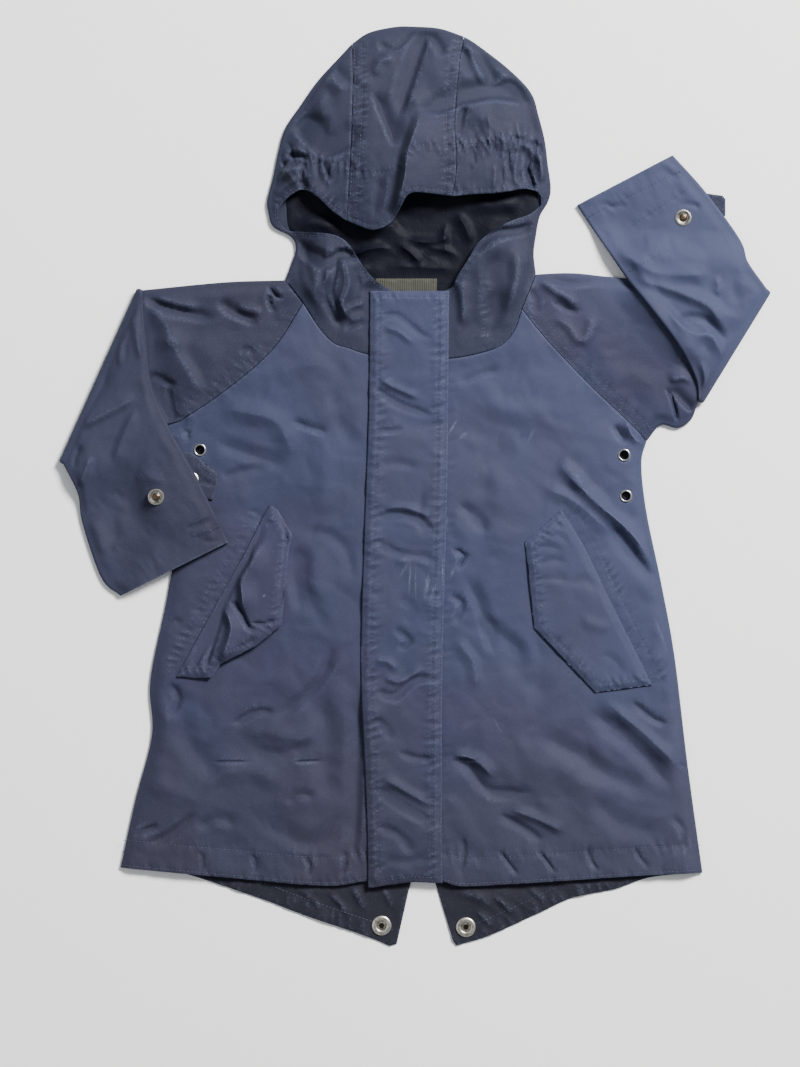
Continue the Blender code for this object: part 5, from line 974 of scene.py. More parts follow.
seam = sample_seams(EDGE_STEP)
coarse = sample_seams(COARSE)
fronts = chain_loops(FRONT_CHAINS, seam)
overlays = chain_loops(OVERLAY_CHAINS, seam)
coarse_fronts = chain_loops(FRONT_CHAINS, coarse)
coarse_overlays = chain_loops(OVERLAY_CHAINS, coarse)
SEWN_ROWS = {layer: [(beside(coarse[path], offset), *row) for path, offset, *row in rows]
             for layer, rows in SEWN.items()}


# ---------------------------------------------------------------- heights of each layer
def patch(first, last, top, under, rows, shares):
    """A grid of points between two end rings and two edge curves."""
    tops = curve(top, COARSE, pieces=rows)
    unders = curve(under, COARSE, pieces=rows)
    grid = []
    for row, (high, low) in enumerate(zip(tops, unders)):
        u = row / rows
        line = (1 - u) * first + u * last
        line = line + (1 - shares)[:, None] * (high - line[0]) + shares[:, None] * (low - line[-1])
        grid.append(line)
    return grid


def sleeve_layout(name):
    """Where a sleeve's rings lie: upper arm (front and back layer), elbow line and forearm."""
    side = name.split("_")[1]
    spec = SLEEVES[name]
    ends = {}
    for layer, mid in (("front", "_"), ("back", "_back_")):
        ends[layer] = np.vstack([seam["shoulder" + mid + side], seam["raglan" + mid + side][1:]])
    along = np.cumsum(np.linalg.norm(np.diff(ends["front"], axis=0), axis=1))
    shares = np.concatenate([[0.0], along / along[-1]])
    high, low = np.array(spec["crease"])
    outward = np.array([-(low - high)[1], (low - high)[0]])
    outward /= np.linalg.norm(outward)
    outward *= np.sign(outward @ (high - ends["front"].mean(axis=0)))
    high, low = high - outward * ELBOW_AXIS, low - outward * ELBOW_AXIS
    elbow = high + shares[:, None] * (low - high)
    cuff_high, cuff_low = np.array(spec["fore_top"][-1]), np.array(spec["fore_under"][-1])
    cuff = cuff_high + shares[:, None] * (cuff_low - cuff_high)
    upper = {layer: patch(ring, elbow, spec["top"][:-1] + [tuple(high)],
                          spec["under"][:-1] + [tuple(low)], UPPER_RINGS, shares)
             for layer, ring in ends.items()}
    fore = patch(elbow, cuff, [tuple(high)] + spec["fore_top"][1:], [tuple(low)] + spec["fore_under"][1:],
                 FORE_RINGS, shares)
    return {"upper": upper, "fore": fore, "outward": outward}


def grid_edge(grid, stride=1):
    """The outline of a grid of points, counter-clockwise."""
    loop = np.vstack([grid[0][::stride], [row[-1] for row in grid[1:-1:stride]], grid[-1][::-stride],
                      [row[0] for row in grid[-2:0:-stride]]])
    return counter_clockwise(loop)


layouts = {name: sleeve_layout(name) for name in SLEEVES}
FORE_FOLDS = {"sleeve_right": FORE_RIGHT_FOLDS, "sleeve_left": FORE_LEFT_FOLDS}
FORE_EDGES = {name: grid_edge(layouts[name]["fore"], 4) for name in SLEEVES}
ELBOW_LINES = {name: layouts[name]["fore"][0][::8] for name in SLEEVES}
UPPER_EDGES = {name: grid_edge(layouts[name]["upper"]["front"], 4) for name in SLEEVES}


def forearm_lift(points, name):
    """Height of a forearm's underside over the surface."""
    covered = [UPPER_EDGES[name]] + list(coarse_fronts.values())
    away = np.min([outside_by(points, loop) for loop in covered], axis=0)
    over = 1.0 - smooth((away - SPREAD_START) / SPREAD_REACH)
    x, y, radius, height = TAB_LIFTS[name]
    share = np.linalg.norm(points - np.array([x, y]), axis=1) / radius
    rise = swell(points) * smooth(distance_to(points, ELBOW_LINES[name]) / SWELL_RAMP)
    return ((2 * ELBOW_AXIS - FRONT_TOP + rise) * over
            + height * smooth(TAB_LIFT_STEEPNESS * (1.0 - share)))


def body_rise(points):
    """What the top layer of fronts and upper sleeves rises over its flat form."""
    bare = clear_of_hardware(points)
    clear = bare.copy()
    covers = list(coarse_overlays.values()) + [FORE_EDGES["sleeve_right"], FORE_EDGES["sleeve_left"],
                                               np.array(TAB_RIGHT[:-1])[::-1]]
    for loop in covers:
        clear *= smooth((outside_by(points, loop) - COVER_MARGIN) / COVER_RAMP)
    necks = least_distance(points, ["neck_right", "neck_left"])
    clear *= smooth(necks / COVER_RAMP)
    bare *= smooth(necks / COVER_RAMP)
    rise = fold_heights(points, BODY_FOLDS) + crumple(points, SEEDS["body"])
    rise = np.maximum(rise, 0.0) * clear + np.minimum(rise, 0.0) * bare
    return swell(points) + rise + sewn_heights(points, SEWN_ROWS["body"], SEEDS["body_sewn"]) * bare


def front_top(points):
    """Upper face of the front layer."""
    sides = least_distance(points, ["side_right", "side_left"])
    under = SEAM_UNDER + (FRONT_UNDER - SEAM_UNDER) * smooth(sides / SIDE_RAMP)
    rise = body_rise(points) * smooth((sides + 1.0) / SWELL_RAMP)
    return at_least(under + SOLID_WALL + rise, FRONT_LEAST)


def overlay_top(name, folds, creases, crumpled, lift=0.0):
    """Upper face of a piece that lies on the fronts; lift raises it away from its seam."""
    def top(points):
        rise = fold_heights(points, folds) + crease_heights(points, creases)
        rise += crumpled * crumple(points, SEEDS[name])
        rise += OVERLAY_PUCKERS * sewn_heights(points, SEWN_ROWS[name], SEEDS[name])
        within = smooth(distance_to(points, closed(coarse_overlays[name])) / OVERLAY_RAMP)
        rise = np.where(rise < 0, rise * within, rise) + OVERLAY_LOFT * within
        if lift:
            rise += lift * smooth(distance_to(points, coarse["flap_seam_right"]) / FLAP_LIFT_RAMP)
        return ON_TOP + CLOTH_WALL + swell(points) + at_least(rise, OVERLAY_LEAST)
    return top


placket_top = overlay_top("placket", PLACKET_FOLDS, [], 0.9)
flap_left_top = overlay_top("pocket_flap_left", [], FLAP_LEFT_CREASES, 0.6)
flap_right_top = overlay_top("pocket_flap_right", FLAP_RIGHT_FOLDS, [], 0.3, lift=FLAP_LIFT)


def hood_top(points):
    """Upper face of the hood's front layer."""
    rise = np.zeros(len(points))
    for x, y, spread_x, spread_y, height in HOOD_RISES:
        across, along = (points[:, 0] - x) / spread_x, (points[:, 1] - y) / spread_y
        rise += height * np.exp(-across ** 2 - along ** 2)
    finer = fold_heights(points, HOOD_FOLDS) + HOOD_RELIEF * crumple(points, SEEDS["hood"])
    finer += HOOD_RELIEF * sewn_heights(points, SEWN_ROWS["hood"], SEEDS["hood_sewn"])
    rims = least_distance(points, ["rim_right", "rim_left", "crown"])
    necks = least_distance(points, ["neck_right", "neck_left", "shoulder_right", "shoulder_left"])
    placket = outside_by(points, coarse_overlays["placket"])
    clear = smooth(necks / HOOD_NECK_RAMP) * smooth((placket - COVER_MARGIN) / COVER_RAMP)
    rise *= smooth((rims - ROLL) / HOOD_RIM_RAMP)
    finer = at_least(finer, HOOD_DEEPEST, soft=1.0) * smooth((rims - ROLL) / HOOD_FOLD_RAMP)
    waves = swell(points) * smooth((rims - ROLL) / SWELL_RAMP)
    return at_least(FRONT_TOP + (rise + finer) * clear + waves, HOOD_LEAST)


def fore_rise(points, name):
    """Creases of a forearm's upper layer."""
    rise = fold_heights(points, FORE_FOLDS[name]) + crumple(points, SEEDS[name])
    rise = (rise + sewn_heights(points, SEWN_ROWS[name], SEEDS[name])) * clear_of_hardware(points)
    return at_least(FORE_LOFT + rise, LAYER_LEAST)


def fore_top(name):
    def top(points):
        return forearm_lift(points, name) + FRONT_TOP + fore_rise(points, name)
    return top


def tab_sewn(points, name):
    return sewn_heights(points, SEWN_ROWS[name], SEEDS[name])


def tab_right_top(points):
    """The right tab lies on the front."""
    rise = tab_sewn(points, "cuff_tab_right") + crease_heights(points, TAB_CREASES)
    return ON_TOP + TAB_WALL + swell(points) + TAB_STAND + np.maximum(rise, TAB_DEEPEST)


def tab_left_top(points):
    """The left tab lies on the surface."""
    return TAB_WALL + LOW_TAB_STAND + np.maximum(tab_sewn(points, "cuff_tab_left"), LOW_TAB_DEEPEST)


def tail_rise(points):
    """Creases of the back where it shows below the hem."""
    away = np.min([outside_by(points, loop) for loop in coarse_fronts.values()], axis=0)
    clear = smooth((away + 1.0) / RELIEF_RAMP) * clear_of_hardware(points)
    rise = crease_heights(points, TAIL_CREASES) + TAIL_RELIEF * (crumple(points, SEEDS["tail"]) + 0.4)
    rise += sewn_heights(points, SEWN_ROWS["tail"], SEEDS["tail_sewn"])
    return np.maximum(rise, 0.0) * clear


def tail_top(points):
    return SOLID_WALL + tail_rise(points)


def lining_top(points):
    """Upper face of the lining on the inside of the hood's back."""
    edge = distance_to(points, np.array(LINING))
    rise = crease_heights(points, LINING_CREASES) + LINING_RELIEF * (crumple(points, SEEDS["lining"]) + 0.3)
    shown = smooth(edge / RELIEF_RAMP) * smooth((points[:, 1] - LINING_START) / LINING_RAMP)
    return SOLID_WALL + LINING_STAND + np.maximum(rise, 0.0) * shown


def label_top(points):
    lumps = noise(points, 9.0, SEEDS["label"]) + 0.5 * noise(points, 5.0, SEEDS["label"] + 1)
    return SEAM_UNDER + LABEL_STAND + LABEL_RELIEF * lumps


# ---------------------------------------------------------------- meshes
class Sheet:
    """A surface with an outer and an inner position for every point."""

    def __init__(self):
        self.outer = []
        self.inner = []
        self.faces = []

    def add(self, outer, inner):
        first = len(self.outer)
        self.outer.extend(map(tuple, outer))
        self.inner.extend(map(tuple, inner))
        return first


def spaced(points, gap):
    """The points without those that share a small cell with an earlier one."""
    _, first = np.unique(np.round(points / gap).astype(int), axis=0, return_index=True)
    return points[np.sort(first)]


def fill(loop, spacing, holes=(), marks=()):
    """Triangles over a closed loop: its own points, an even lattice and extra marks inside."""
    rings = [np.asarray(loop)] + [np.asarray(hole) for hole in holes]
    low, high = rings[0].min(axis=0), rings[0].max(axis=0)
    row_height = spacing * math.sqrt(3) / 2
    rows = np.arange(math.floor(low[1] / row_height), math.ceil(high[1] / row_height) + 1)
    columns = np.arange(math.floor(low[0] / spacing) - 1, math.ceil(high[0] / spacing) + 1)
    c, r = np.meshgrid(columns, rows)
    lattice = np.column_stack([((c + 0.5 * (r % 2)) * spacing).ravel(), (r * row_height).ravel()])
    marks = [np.asarray(some, float).reshape(-1, 2) for some in marks if len(some)]
    marks = spaced(np.vstack(marks), MARK_APART) if marks else np.zeros((0, 2))
    for ring in rings:
        marks = marks[distance_to(marks, closed(ring)) > MARK_CLEAR]
    kept = []
    for cloud in (marks, lattice):
        good = inside(cloud, rings[0])
        for hole in rings[1:]:
            good &= ~inside(cloud, hole)
        kept.append(cloud[good])
    marks, lattice = kept
    fixed = np.vstack(rings + [marks])
    tree = kdtree.KDTree(len(fixed))
    for i, (x, y) in enumerate(fixed):
        tree.insert((x, y, 0.0), i)
    tree.balance()
    apart = np.array([tree.find((x, y, 0.0))[2] for x, y in lattice])
    lattice = lattice[apart > LATTICE_CLEAR * spacing]
    points = np.vstack([fixed, lattice])
    edges = []
    start = 0
    for ring in rings:
        count = len(ring)
        edges += [(start + i, start + (i + 1) % count) for i in range(count)]
        start += count
    _, _, found, origins, _, _ = delaunay_2d_cdt(points.tolist(), edges, [], 1, 1e-6, True)
    faces = np.array([[origins[corner][0] for corner in face] for face in found])
    middles = points[faces].mean(axis=1)
    wanted = inside(middles, rings[0])
    for hole in rings[1:]:
        wanted &= ~inside(middles, hole)
    faces = faces[wanted]
    a, b, c = points[faces[:, 0]], points[faces[:, 1]], points[faces[:, 2]]
    turn = (b[:, 0] - a[:, 0]) * (c[:, 1] - a[:, 1]) - (b[:, 1] - a[:, 1]) * (c[:, 0] - a[:, 0])
    faces[turn < 0] = faces[turn < 0][:, ::-1]
    return points, faces, start


def at_height(points, heights):
    return np.column_stack([points, np.broadcast_to(heights, len(points))])


def mark_rows(layer, folds=(), table=()):
    """Rows of points on and beside the stitched lines and the crisp creases of a layer."""
    rows = []
    for line, *_, threads in SEWN_ROWS.get(layer, ()):
        fine = curve(line, SEWN_STEP)
        rows += [beside(fine, offset) for offset in (STITCHED_ROWS if threads else PLAIN_ROWS)]
    for path, *_, crisp in folds:
        if crisp >= MARK_CRISP:
            fine = curve(path, MARK_STEP)
            rows += [fine, beside(fine, MARK_ASIDE), beside(fine, -MARK_ASIDE)]
    for x0, y0, x1, y1, bend, *_, crisp, _ in table:
        if crisp < MARK_CRISP:
            continue
        start, end = np.array([x0, y0]), np.array([x1, y1])
        length = np.linalg.norm(end - start)
        left = np.array([y0 - y1, x1 - x0]) / length
        share = np.linspace(0.06, 0.94, max(3, round(length / MARK_STEP)))[:, None]
        middle = start + share * (end - start) + 4 * bend * share * (1 - share) * left
        rows += [middle, middle + MARK_ASIDE * left, middle - MARK_ASIDE * left]
    return rows


def crest(points, edges):
    """How much each vertex stands out over its neighbours, in mm."""
    count = np.zeros(len(points))
    mean = np.zeros((len(points), 3))
    for a, b in ((0, 1), (1, 0)):
        np.add.at(count, edges[:, a], 1)
        np.add.at(mean, edges[:, a], points[edges[:, b]])
    return points - mean / np.maximum(count, 1)[:, None]


def add_mesh(name, points, faces, material, smooth_angle=60.0):
    """A mesh piece in metres that rides on the garment, with its crests as an attribute."""
    points = np.asarray(points, float)
    mesh = bpy.data.meshes.new(name)
    mesh.from_pydata(((points - CENTRE) * MM).tolist(), [], faces)
    mesh.materials.append(material)
    mesh.update()
    mesh.shade_smooth()
    mesh.set_sharp_from_angle(angle=math.radians(smooth_angle))
    edges = np.zeros(len(mesh.edges) * 2, int)
    mesh.edges.foreach_get("vertices", edges)
    normals = np.zeros(len(points) * 3)
    mesh.vertices.foreach_get("normal", normals)
    stand = np.sum(crest(points, edges.reshape(-1, 2)) * normals.reshape(-1, 3), axis=1)
    mesh.attributes.new("crest", "FLOAT", "POINT").data.foreach_set("value", stand.astype(np.float32))
    piece = bpy.data.objects.new(name, mesh)
    bpy.context.scene.collection.objects.link(piece)
    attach(piece, "root")
    return piece


def add_cloth(name, sheet, material, node):
    """One closed thin shell: an outer skin, an inner skin and a wall round every open edge."""
    count = len(sheet.outer)
    skins = [tuple(face) for face in sheet.faces]
    directed = {(a, b) for face in skins for a, b in zip(face, face[1:] + face[:1])}
    inner = [tuple(corner + count for corner in reversed(face)) for face in skins]
    walls = [(b, a, a + count, b + count) for a, b in sorted(directed) if (b, a) not in directed]
    points = np.array(sheet.outer + sheet.inner)
    points[:, 2] = np.maximum(points[:, 2], 0.0)  # nothing sinks into the surface
    piece = add_mesh(name, points, skins + inner + walls, material)
    if node:
        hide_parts(node)
    return piece


def add_panel(name, loop, top, spacing, material, node, holes=(), layer=None, folds=(), table=(),
              marks=(), wall=CLOTH_WALL):
    """A single layer of cloth whose upper face follows a height function, its edges turned down."""
    rows = [inset(loop, EDGE_ROW)] + mark_rows(layer, folds, table) + list(marks)
    points, faces, rim = fill(loop, spacing, holes, rows)
    heights = top(points)
    heights[:rim] -= EDGE_ROLL
    sheet = Sheet()
    sheet.add(at_height(points, heights), at_height(points, heights - wall))
    sheet.faces = faces.tolist()
    return add_cloth(name, sheet, material, node)


# ---------------------------------------------------------------- materials
def link(tree, value, socket):
    """Feed a socket from another socket, or set its value."""
    if isinstance(value, bpy.types.NodeSocket):
        tree.links.new(value, socket)
    else:
        socket.default_value = value


def node(tree, kind, inputs=None, **settings):
    made = tree.nodes.new(kind)
    for key, value in settings.items():
        setattr(made, key, value)
    for key, value in (inputs or {}).items():
        link(tree, value, made.inputs[key])
    return made


def maths(tree, operation, a, b=0.0, clamp=False):
    return node(tree, "ShaderNodeMath", {0: a, 1: b}, operation=operation, use_clamp=clamp).outputs[0]


def mix(tree, factor, a, b):
    """The colours a and b mixed by a factor from 0 to 1."""
    return node(tree, "ShaderNodeMix", {0: factor, 6: a, 7: b}, data_type="RGBA").outputs[2]


def product(tree, a, b):
    return maths(tree, "MULTIPLY", a, b)


def ramp(tree, value, low, high):
    """The value's way from low to high, as 0 to 1 with soft ends."""
    made = node(tree, "ShaderNodeMapRange", {"Value": value, "From Min": low, "From Max": high},
                interpolation_type="SMOOTHSTEP")
    return made.outputs["Result"]


def texture(tree, place, scale, detail=2.0, stretch=(1.0, 1.0, 1.0), rough=0.5, twist=0.0):
    """Noise at a scale per metre, from 0 to 1."""
    mapped = node(tree, "ShaderNodeMapping", {"Vector": place, "Scale": stretch}).outputs[0]
    made = node(tree, "ShaderNodeTexNoise", {"Vector": mapped, "Scale": scale, "Detail": detail,
                                             "Roughness": rough, "Distortion": twist})
    return made.outputs["Fac"]


def bumps(tree, rows):
    """Stacked bump nodes from (height, strength, distance in metres)."""
    normal = None
    for height, strength, distance in rows:
        inputs = {"Height": height, "Strength": strength, "Distance": distance}
        if normal is not None:
            inputs["Normal"] = normal
        normal = node(tree, "ShaderNodeBump", inputs).outputs[0]
    return normal


def new_material(name, roughness, metallic=0.0, sheen=0.0, specular=0.5):
    material = bpy.data.materials.new(name)
    material.use_nodes = True
    tree = material.node_tree
    shader = tree.nodes["Principled BSDF"]
    shader.inputs["Metallic"].default_value = metallic
    shader.inputs["Specular IOR Level"].default_value = specular
    shader.inputs["Sheen Weight"].default_value = sheen
    shader.inputs["Sheen Roughness"].default_value = 0.45
    shader.inputs["Sheen Tint"].default_value = (0.55, 0.62, 0.85, 1.0)
    shader.inputs["Roughness"].default_value = roughness
    place = node(tree, "ShaderNodeTexCoord").outputs["Object"]
    return material, tree, shader, place


# Rubbed and chalky marks: x, y, length, width, direction in degrees, strength; mm.
SCUFFS = [
    (-4, -70, 26, 1.6, 88, 0.75), (0.5, -71, 24, 1.4, 90, 0.7),
    (9, -74, 22, 4, 80, 0.55), (14, -78, 16, 3, 70, 0.5),
    (-8, -62, 16, 2.5, 60, 0.35), (20.8, -66, 26, 1.6, 90, 0.8),
    (28, 44, 13, 2.4, 60, 0.8), (36, 38, 10, 3.4, 40, 0.35),
    (87, 38, 12, 3, 65, 0.4), (28, -64, 9, 3.4, 70, 0.6),
    (-113, -82, 4, 2, 40, 0.8), (184, -110, 26, 3, -70, 0.35),
    (24, -28, 14, 2, 88, 0.3), (62, -180, 16, 1, -60, 0.4),
]
NAVY_BLUE = (0.0235, 0.0275, 0.058, 1.0)
NAVY_PLUM = (0.0255, 0.0255, 0.051, 1.0)
# painted shade: the darkest navy, mixed in where a whole piece or a dip stands in shade
NAVY_PAINTED_SHADE = (0.007, 0.0078, 0.0145, 1.0)
# painted light: the paler navy that a piece turns to on its side towards the lamp
NAVY_PAINTED_LIGHT = (0.053, 0.064, 0.124, 1.0)
# painted shade: grey navy for the shaded copies, also used to grey the cloth towards its hem
NAVY_GREY_SHADE_AND_HEM = (0.022, 0.0205, 0.0305, 1.0)
# pale navy for the cloth's flecks and for its crests, which are partly worn and partly a painted highlight
NAVY_PALE_FLECK_AND_HIGHLIGHT = (0.115, 0.140, 0.220, 1.0)
CHALK = (0.20, 0.22, 0.30, 1.0)
# painted shade: the lining's near-black navy stands in for the shade inside the hood
LINING_SHADE_DARK = (0.0018, 0.0024, 0.0062, 1.0)
LINING_SHADE_LIGHT = (0.0052, 0.0062, 0.0125, 1.0)
OLIVE_DARK = (0.017, 0.018, 0.011, 1.0)
OLIVE_LIGHT = (0.032, 0.032, 0.020, 1.0)
OLIVE_RIB = (0.014, 0.014, 0.009, 1.0)
THREAD_DARK = (0.020, 0.024, 0.050, 1.0)
THREAD_LIGHT = (0.038, 0.046, 0.090, 1.0)
GROUND_DARK = (0.93, 0.93, 0.94, 1.0)
GROUND_LIGHT = (0.96, 0.96, 0.96, 1.0)
STRIP_DARK = (0.012, 0.015, 0.030, 1.0)
STRIP_LIGHT = (0.030, 0.036, 0.062, 1.0)


# The cloth's noises, at scales per metre.
BLOTCHES = dict(scale=9.0, detail=3.0, rough=0.55, twist=0.6)
FLECKS = dict(scale=700.0, detail=2.0, rough=0.7)
CHALK_GRAIN = dict(scale=900.0, detail=3.0, rough=0.7, stretch=(1.0, 0.35, 1.0))
WARP = dict(scale=1.0, detail=1.0, stretch=(2300.0, 260.0, 1.0))
WEFT = dict(scale=1.0, detail=1.0, stretch=(260.0, 2300.0, 1.0))
CRINKLES = dict(scale=190.0, detail=4.0, rough=0.6, twist=0.8)
SOFT_FOLDS = dict(scale=62.0, detail=3.0, rough=0.5, twist=1.4)
# Ranges over which a mark comes in, and its share of the colour.
BLOTCH_RANGE = (0.36, 0.64)
DULL_RANGE = (-0.10, -0.32)  # metres along the garment: it is duller towards its hem
DULL_SHARE = 0.55
FLECK_RANGE = (0.45, 0.75)
FLECK_SHARE = 0.05
# crests turn paler: partly real wear, partly a painted highlight
CREST_WEAR_AND_HIGHLIGHT = (0.05, 0.30)  # mm that a vertex stands out over its neighbours
WEAR_AND_HIGHLIGHT_FLECKS = (0.35, 0.62)
WEAR_AND_HIGHLIGHT_SHARE = 0.14
# painted shade: vertices that sink below their neighbours darken, as creases in shade
PAINTED_DIP_SHADE = (-0.02, -0.22)
PAINTED_DIP_SHARE = 0.20
SCUFF_FADE = (1.3, 0.0)  # in halves of the scuff's size
SCUFF_GRAIN = (0.30, 0.75)
SCUFF_SHARE = 0.6
# Painted light: the cloth is lightened towards the side where the lamp falls. Default slant of that painted
# light: weights of x and y, start and end in metres along them, share.
PAINTED_LIGHT_SLANT = (1.0, 0.55, -0.28, 0.30, 0.42)


def scuff_mask(tree, place, chalk, x, y, length, width, turn):
    """1 in the middle of a chalky mark, broken up by the chalk's grain."""
    spot = node(tree, "ShaderNodeMapping", {
        "Vector": place, "Location": ((x - CENTRE[0]) * MM, (y - CENTRE[1]) * MM, 0.0),
        "Rotation": (0.0, 0.0, math.radians(turn)),
        "Scale": (0.5 * length * MM, 0.5 * width * MM, 1.0)}, vector_type="TEXTURE").outputs[0]
    flat = node(tree, "ShaderNodeVectorMath", {0: spot, 1: (1.0, 1.0, 0.0)}, operation="MULTIPLY")
    away = node(tree, "ShaderNodeVectorMath", {0: flat.outputs[0]}, operation="LENGTH").outputs["Value"]
    return product(tree, ramp(tree, away, *SCUFF_FADE), ramp(tree, chalk, *SCUFF_GRAIN))


def cloth_material(name, scuffs=(), painted_grey_shade=0.0, painted_shade=0.0, fade=PAINTED_LIGHT_SLANT):
    """Crisp plain-weave cotton and nylon: blotchy navy; paler on crests, partly wear and partly painted
    highlight; painted light lightens it towards one side along the fade slant, and painted shade greys and
    darkens it in its dips and in whole shaded copies.
    """
    material, tree, shader, place = new_material(name, 0.7, sheen=0.05, specular=0.14)
    blotch = texture(tree, place, **BLOTCHES)
    colour = mix(tree, ramp(tree, blotch, *BLOTCH_RANGE), NAVY_PLUM, NAVY_BLUE)
    axes = node(tree, "ShaderNodeSeparateXYZ", {0: place}).outputs
    across, along, start, end, share = fade
    slant = maths(tree, "ADD", product(tree, axes[0], across), product(tree, axes[1], along))
    lit = ramp(tree, slant, start, end)
    # painted light: lighter along the slant towards the lamp; the fade argument gives that slant
    colour = mix(tree, product(tree, lit, share), colour, NAVY_PAINTED_LIGHT)
    # painted shade: painted_grey_shade greys the whole piece; the ramp along y greys it more towards its
    # hem
    greying = maths(tree, "ADD", painted_grey_shade, product(tree, ramp(tree, axes[1], *DULL_RANGE), DULL_SHARE))
    colour = mix(tree, greying, colour, NAVY_GREY_SHADE_AND_HEM)
    # painted shade: darkens a whole copy of the cloth, as if it lay in shade
    colour = mix(tree, painted_shade, colour, NAVY_PAINTED_SHADE)
    fleck = texture(tree, place, **FLECKS)
    colour = mix(tree, product(tree, ramp(tree, fleck, *FLECK_RANGE), FLECK_SHARE), colour, NAVY_PALE_FLECK_AND_HIGHLIGHT)
    stand = node(tree, "ShaderNodeAttribute", attribute_name="crest").outputs["Fac"]
    # paler crests: wear together with a painted highlight
    wear_and_highlight = product(tree, ramp(tree, stand, *CREST_WEAR_AND_HIGHLIGHT), ramp(tree, fleck, *WEAR_AND_HIGHLIGHT_FLECKS))
    colour = mix(tree, product(tree, wear_and_highlight, WEAR_AND_HIGHLIGHT_SHARE), colour, NAVY_PALE_FLECK_AND_HIGHLIGHT)
    # painted shade in the creases and dips
    dip_shade = ramp(tree, stand, *PAINTED_DIP_SHADE)
    colour = mix(tree, product(tree, dip_shade, PAINTED_DIP_SHARE), colour, NAVY_PAINTED_SHADE)
    chalk = texture(tree, place, **CHALK_GRAIN)
    for *shape, strength in scuffs:
        mask = scuff_mask(tree, place, chalk, *shape)
        colour = mix(tree, product(tree, mask, SCUFF_SHARE * strength), colour, CHALK)
    link(tree, colour, shader.inputs["Base Color"])
    warp = texture(tree, place, **WARP)
    weft = texture(tree, place, **WEFT)
    crinkle = texture(tree, place, **CRINKLES)
    folds = texture(tree, place, **SOFT_FOLDS)
    normal = bumps(tree, [(folds, 0.14, 0.0016), (crinkle, 0.14, 0.0006), (warp, 0.35, 0.00012),
                          (weft, 0.35, 0.00012)])
    link(tree, normal, shader.inputs["Normal"])
    return material


def shaded_lining_material():
    """Smooth nylon lining, near black: its dark colour is painted shade inside the hood's opening."""
    material, tree, shader, place = new_material("lining_nylon_painted_shade", 0.6, specular=0.1)
    blotch = texture(tree, place, 30.0, detail=3.0)
    colour = mix(tree, blotch, LINING_SHADE_DARK, LINING_SHADE_LIGHT)
    link(tree, colour, shader.inputs["Base Color"])
    crinkle = texture(tree, place, 150.0, detail=3.0, twist=0.8)
    grain = texture(tree, place, 1500.0, detail=1.0)
    link(tree, bumps(tree, [(crinkle, 0.6, 0.0008), (grain, 0.3, 0.0001)]), shader.inputs["Normal"])
    return material


def label_material():
    """Olive ribbed tape."""
    material, tree, shader, place = new_material("label_tape", 0.7, sheen=0.2)
    ribs = node(tree, "ShaderNodeTexWave", {"Vector": place, "Scale": 190.0, "Distortion": 0.4},
                bands_direction="X").outputs["Fac"]
    blotch = texture(tree, place, 160.0, detail=3.0)
    colour = mix(tree, blotch, OLIVE_DARK, OLIVE_LIGHT)
    colour = mix(tree, product(tree, ribs, 0.4), colour, OLIVE_RIB)
    link(tree, colour, shader.inputs["Base Color"])
    link(tree, bumps(tree, [(ribs, 0.5, 0.0003)]), shader.inputs["Normal"])
    return material


def thread_material():
    """Navy polyester thread, a little paler than the cloth."""
    material, tree, shader, place = new_material("thread", 0.55, sheen=0.1)
    blotch = texture(tree, place, 240.0, detail=2.0)
    colour = mix(tree, blotch, THREAD_DARK, THREAD_LIGHT)
    link(tree, colour, shader.inputs["Base Color"])
    twist = texture(tree, place, 3000.0, detail=1.0)
    link(tree, bumps(tree, [(twist, 0.3, 0.0001)]), shader.inputs["Normal"])
    return material


def metal_material(name, dark, light, roughness, core=None):
    """Plated metal that has dulled in its hollows; a post in its middle may be of another metal."""
    material, tree, shader, place = new_material(name, roughness, metallic=1.0)
    tarnish = texture(tree, place, 420.0, detail=4.0, rough=0.65)
    stand = node(tree, "ShaderNodeAttribute", attribute_name="crest").outputs["Fac"]
    bright = maths(tree, "ADD", ramp(tree, tarnish, 0.35, 0.7), ramp(tree, stand, 0.0, 0.10), clamp=True)
    colour = mix(tree, bright, dark, light)
    if core:
        colour = mix(tree, ramp(tree, stand, CORE_MARK + 1.0, CORE_MARK), colour, core)
    link(tree, colour, shader.inputs["Base Color"])
    scratches = texture(tree, place, 1.0, detail=2.0, stretch=(2600.0, 500.0, 800.0))
    link(tree, bumps(tree, [(scratches, 0.25, 0.00008), (tarnish, 0.2, 0.0001)]),
         shader.inputs["Normal"])
    return material


def floor_material():
    """Matt pale ground."""
    material, tree, shader, place = new_material("floor_paint", 0.9, specular=0.2)
    blotch = texture(tree, place, 3.0, detail=3.0)
    link(tree, mix(tree, blotch, GROUND_DARK, GROUND_LIGHT),
         shader.inputs["Base Color"])
    return material


SHELL = cloth_material("shell_cloth_body", scuffs=SCUFFS)
# painted shade: darker, greyer copies for the hood, for the sleeve away from the lamp with its tabs
# (lightened at its forearm by painted light), and for the back's inside face shaded by the hem
SHELL_HOOD_SHADED = cloth_material("shell_cloth_hood_painted_shade", painted_grey_shade=0.2, painted_shade=0.52)
SHELL_SHADE_AND_LIGHT = cloth_material("shell_cloth_painted_shade_and_light", painted_grey_shade=0.32, painted_shade=0.24, fade=(-0.9, -0.4, 0.13, 0.20, 0.3))
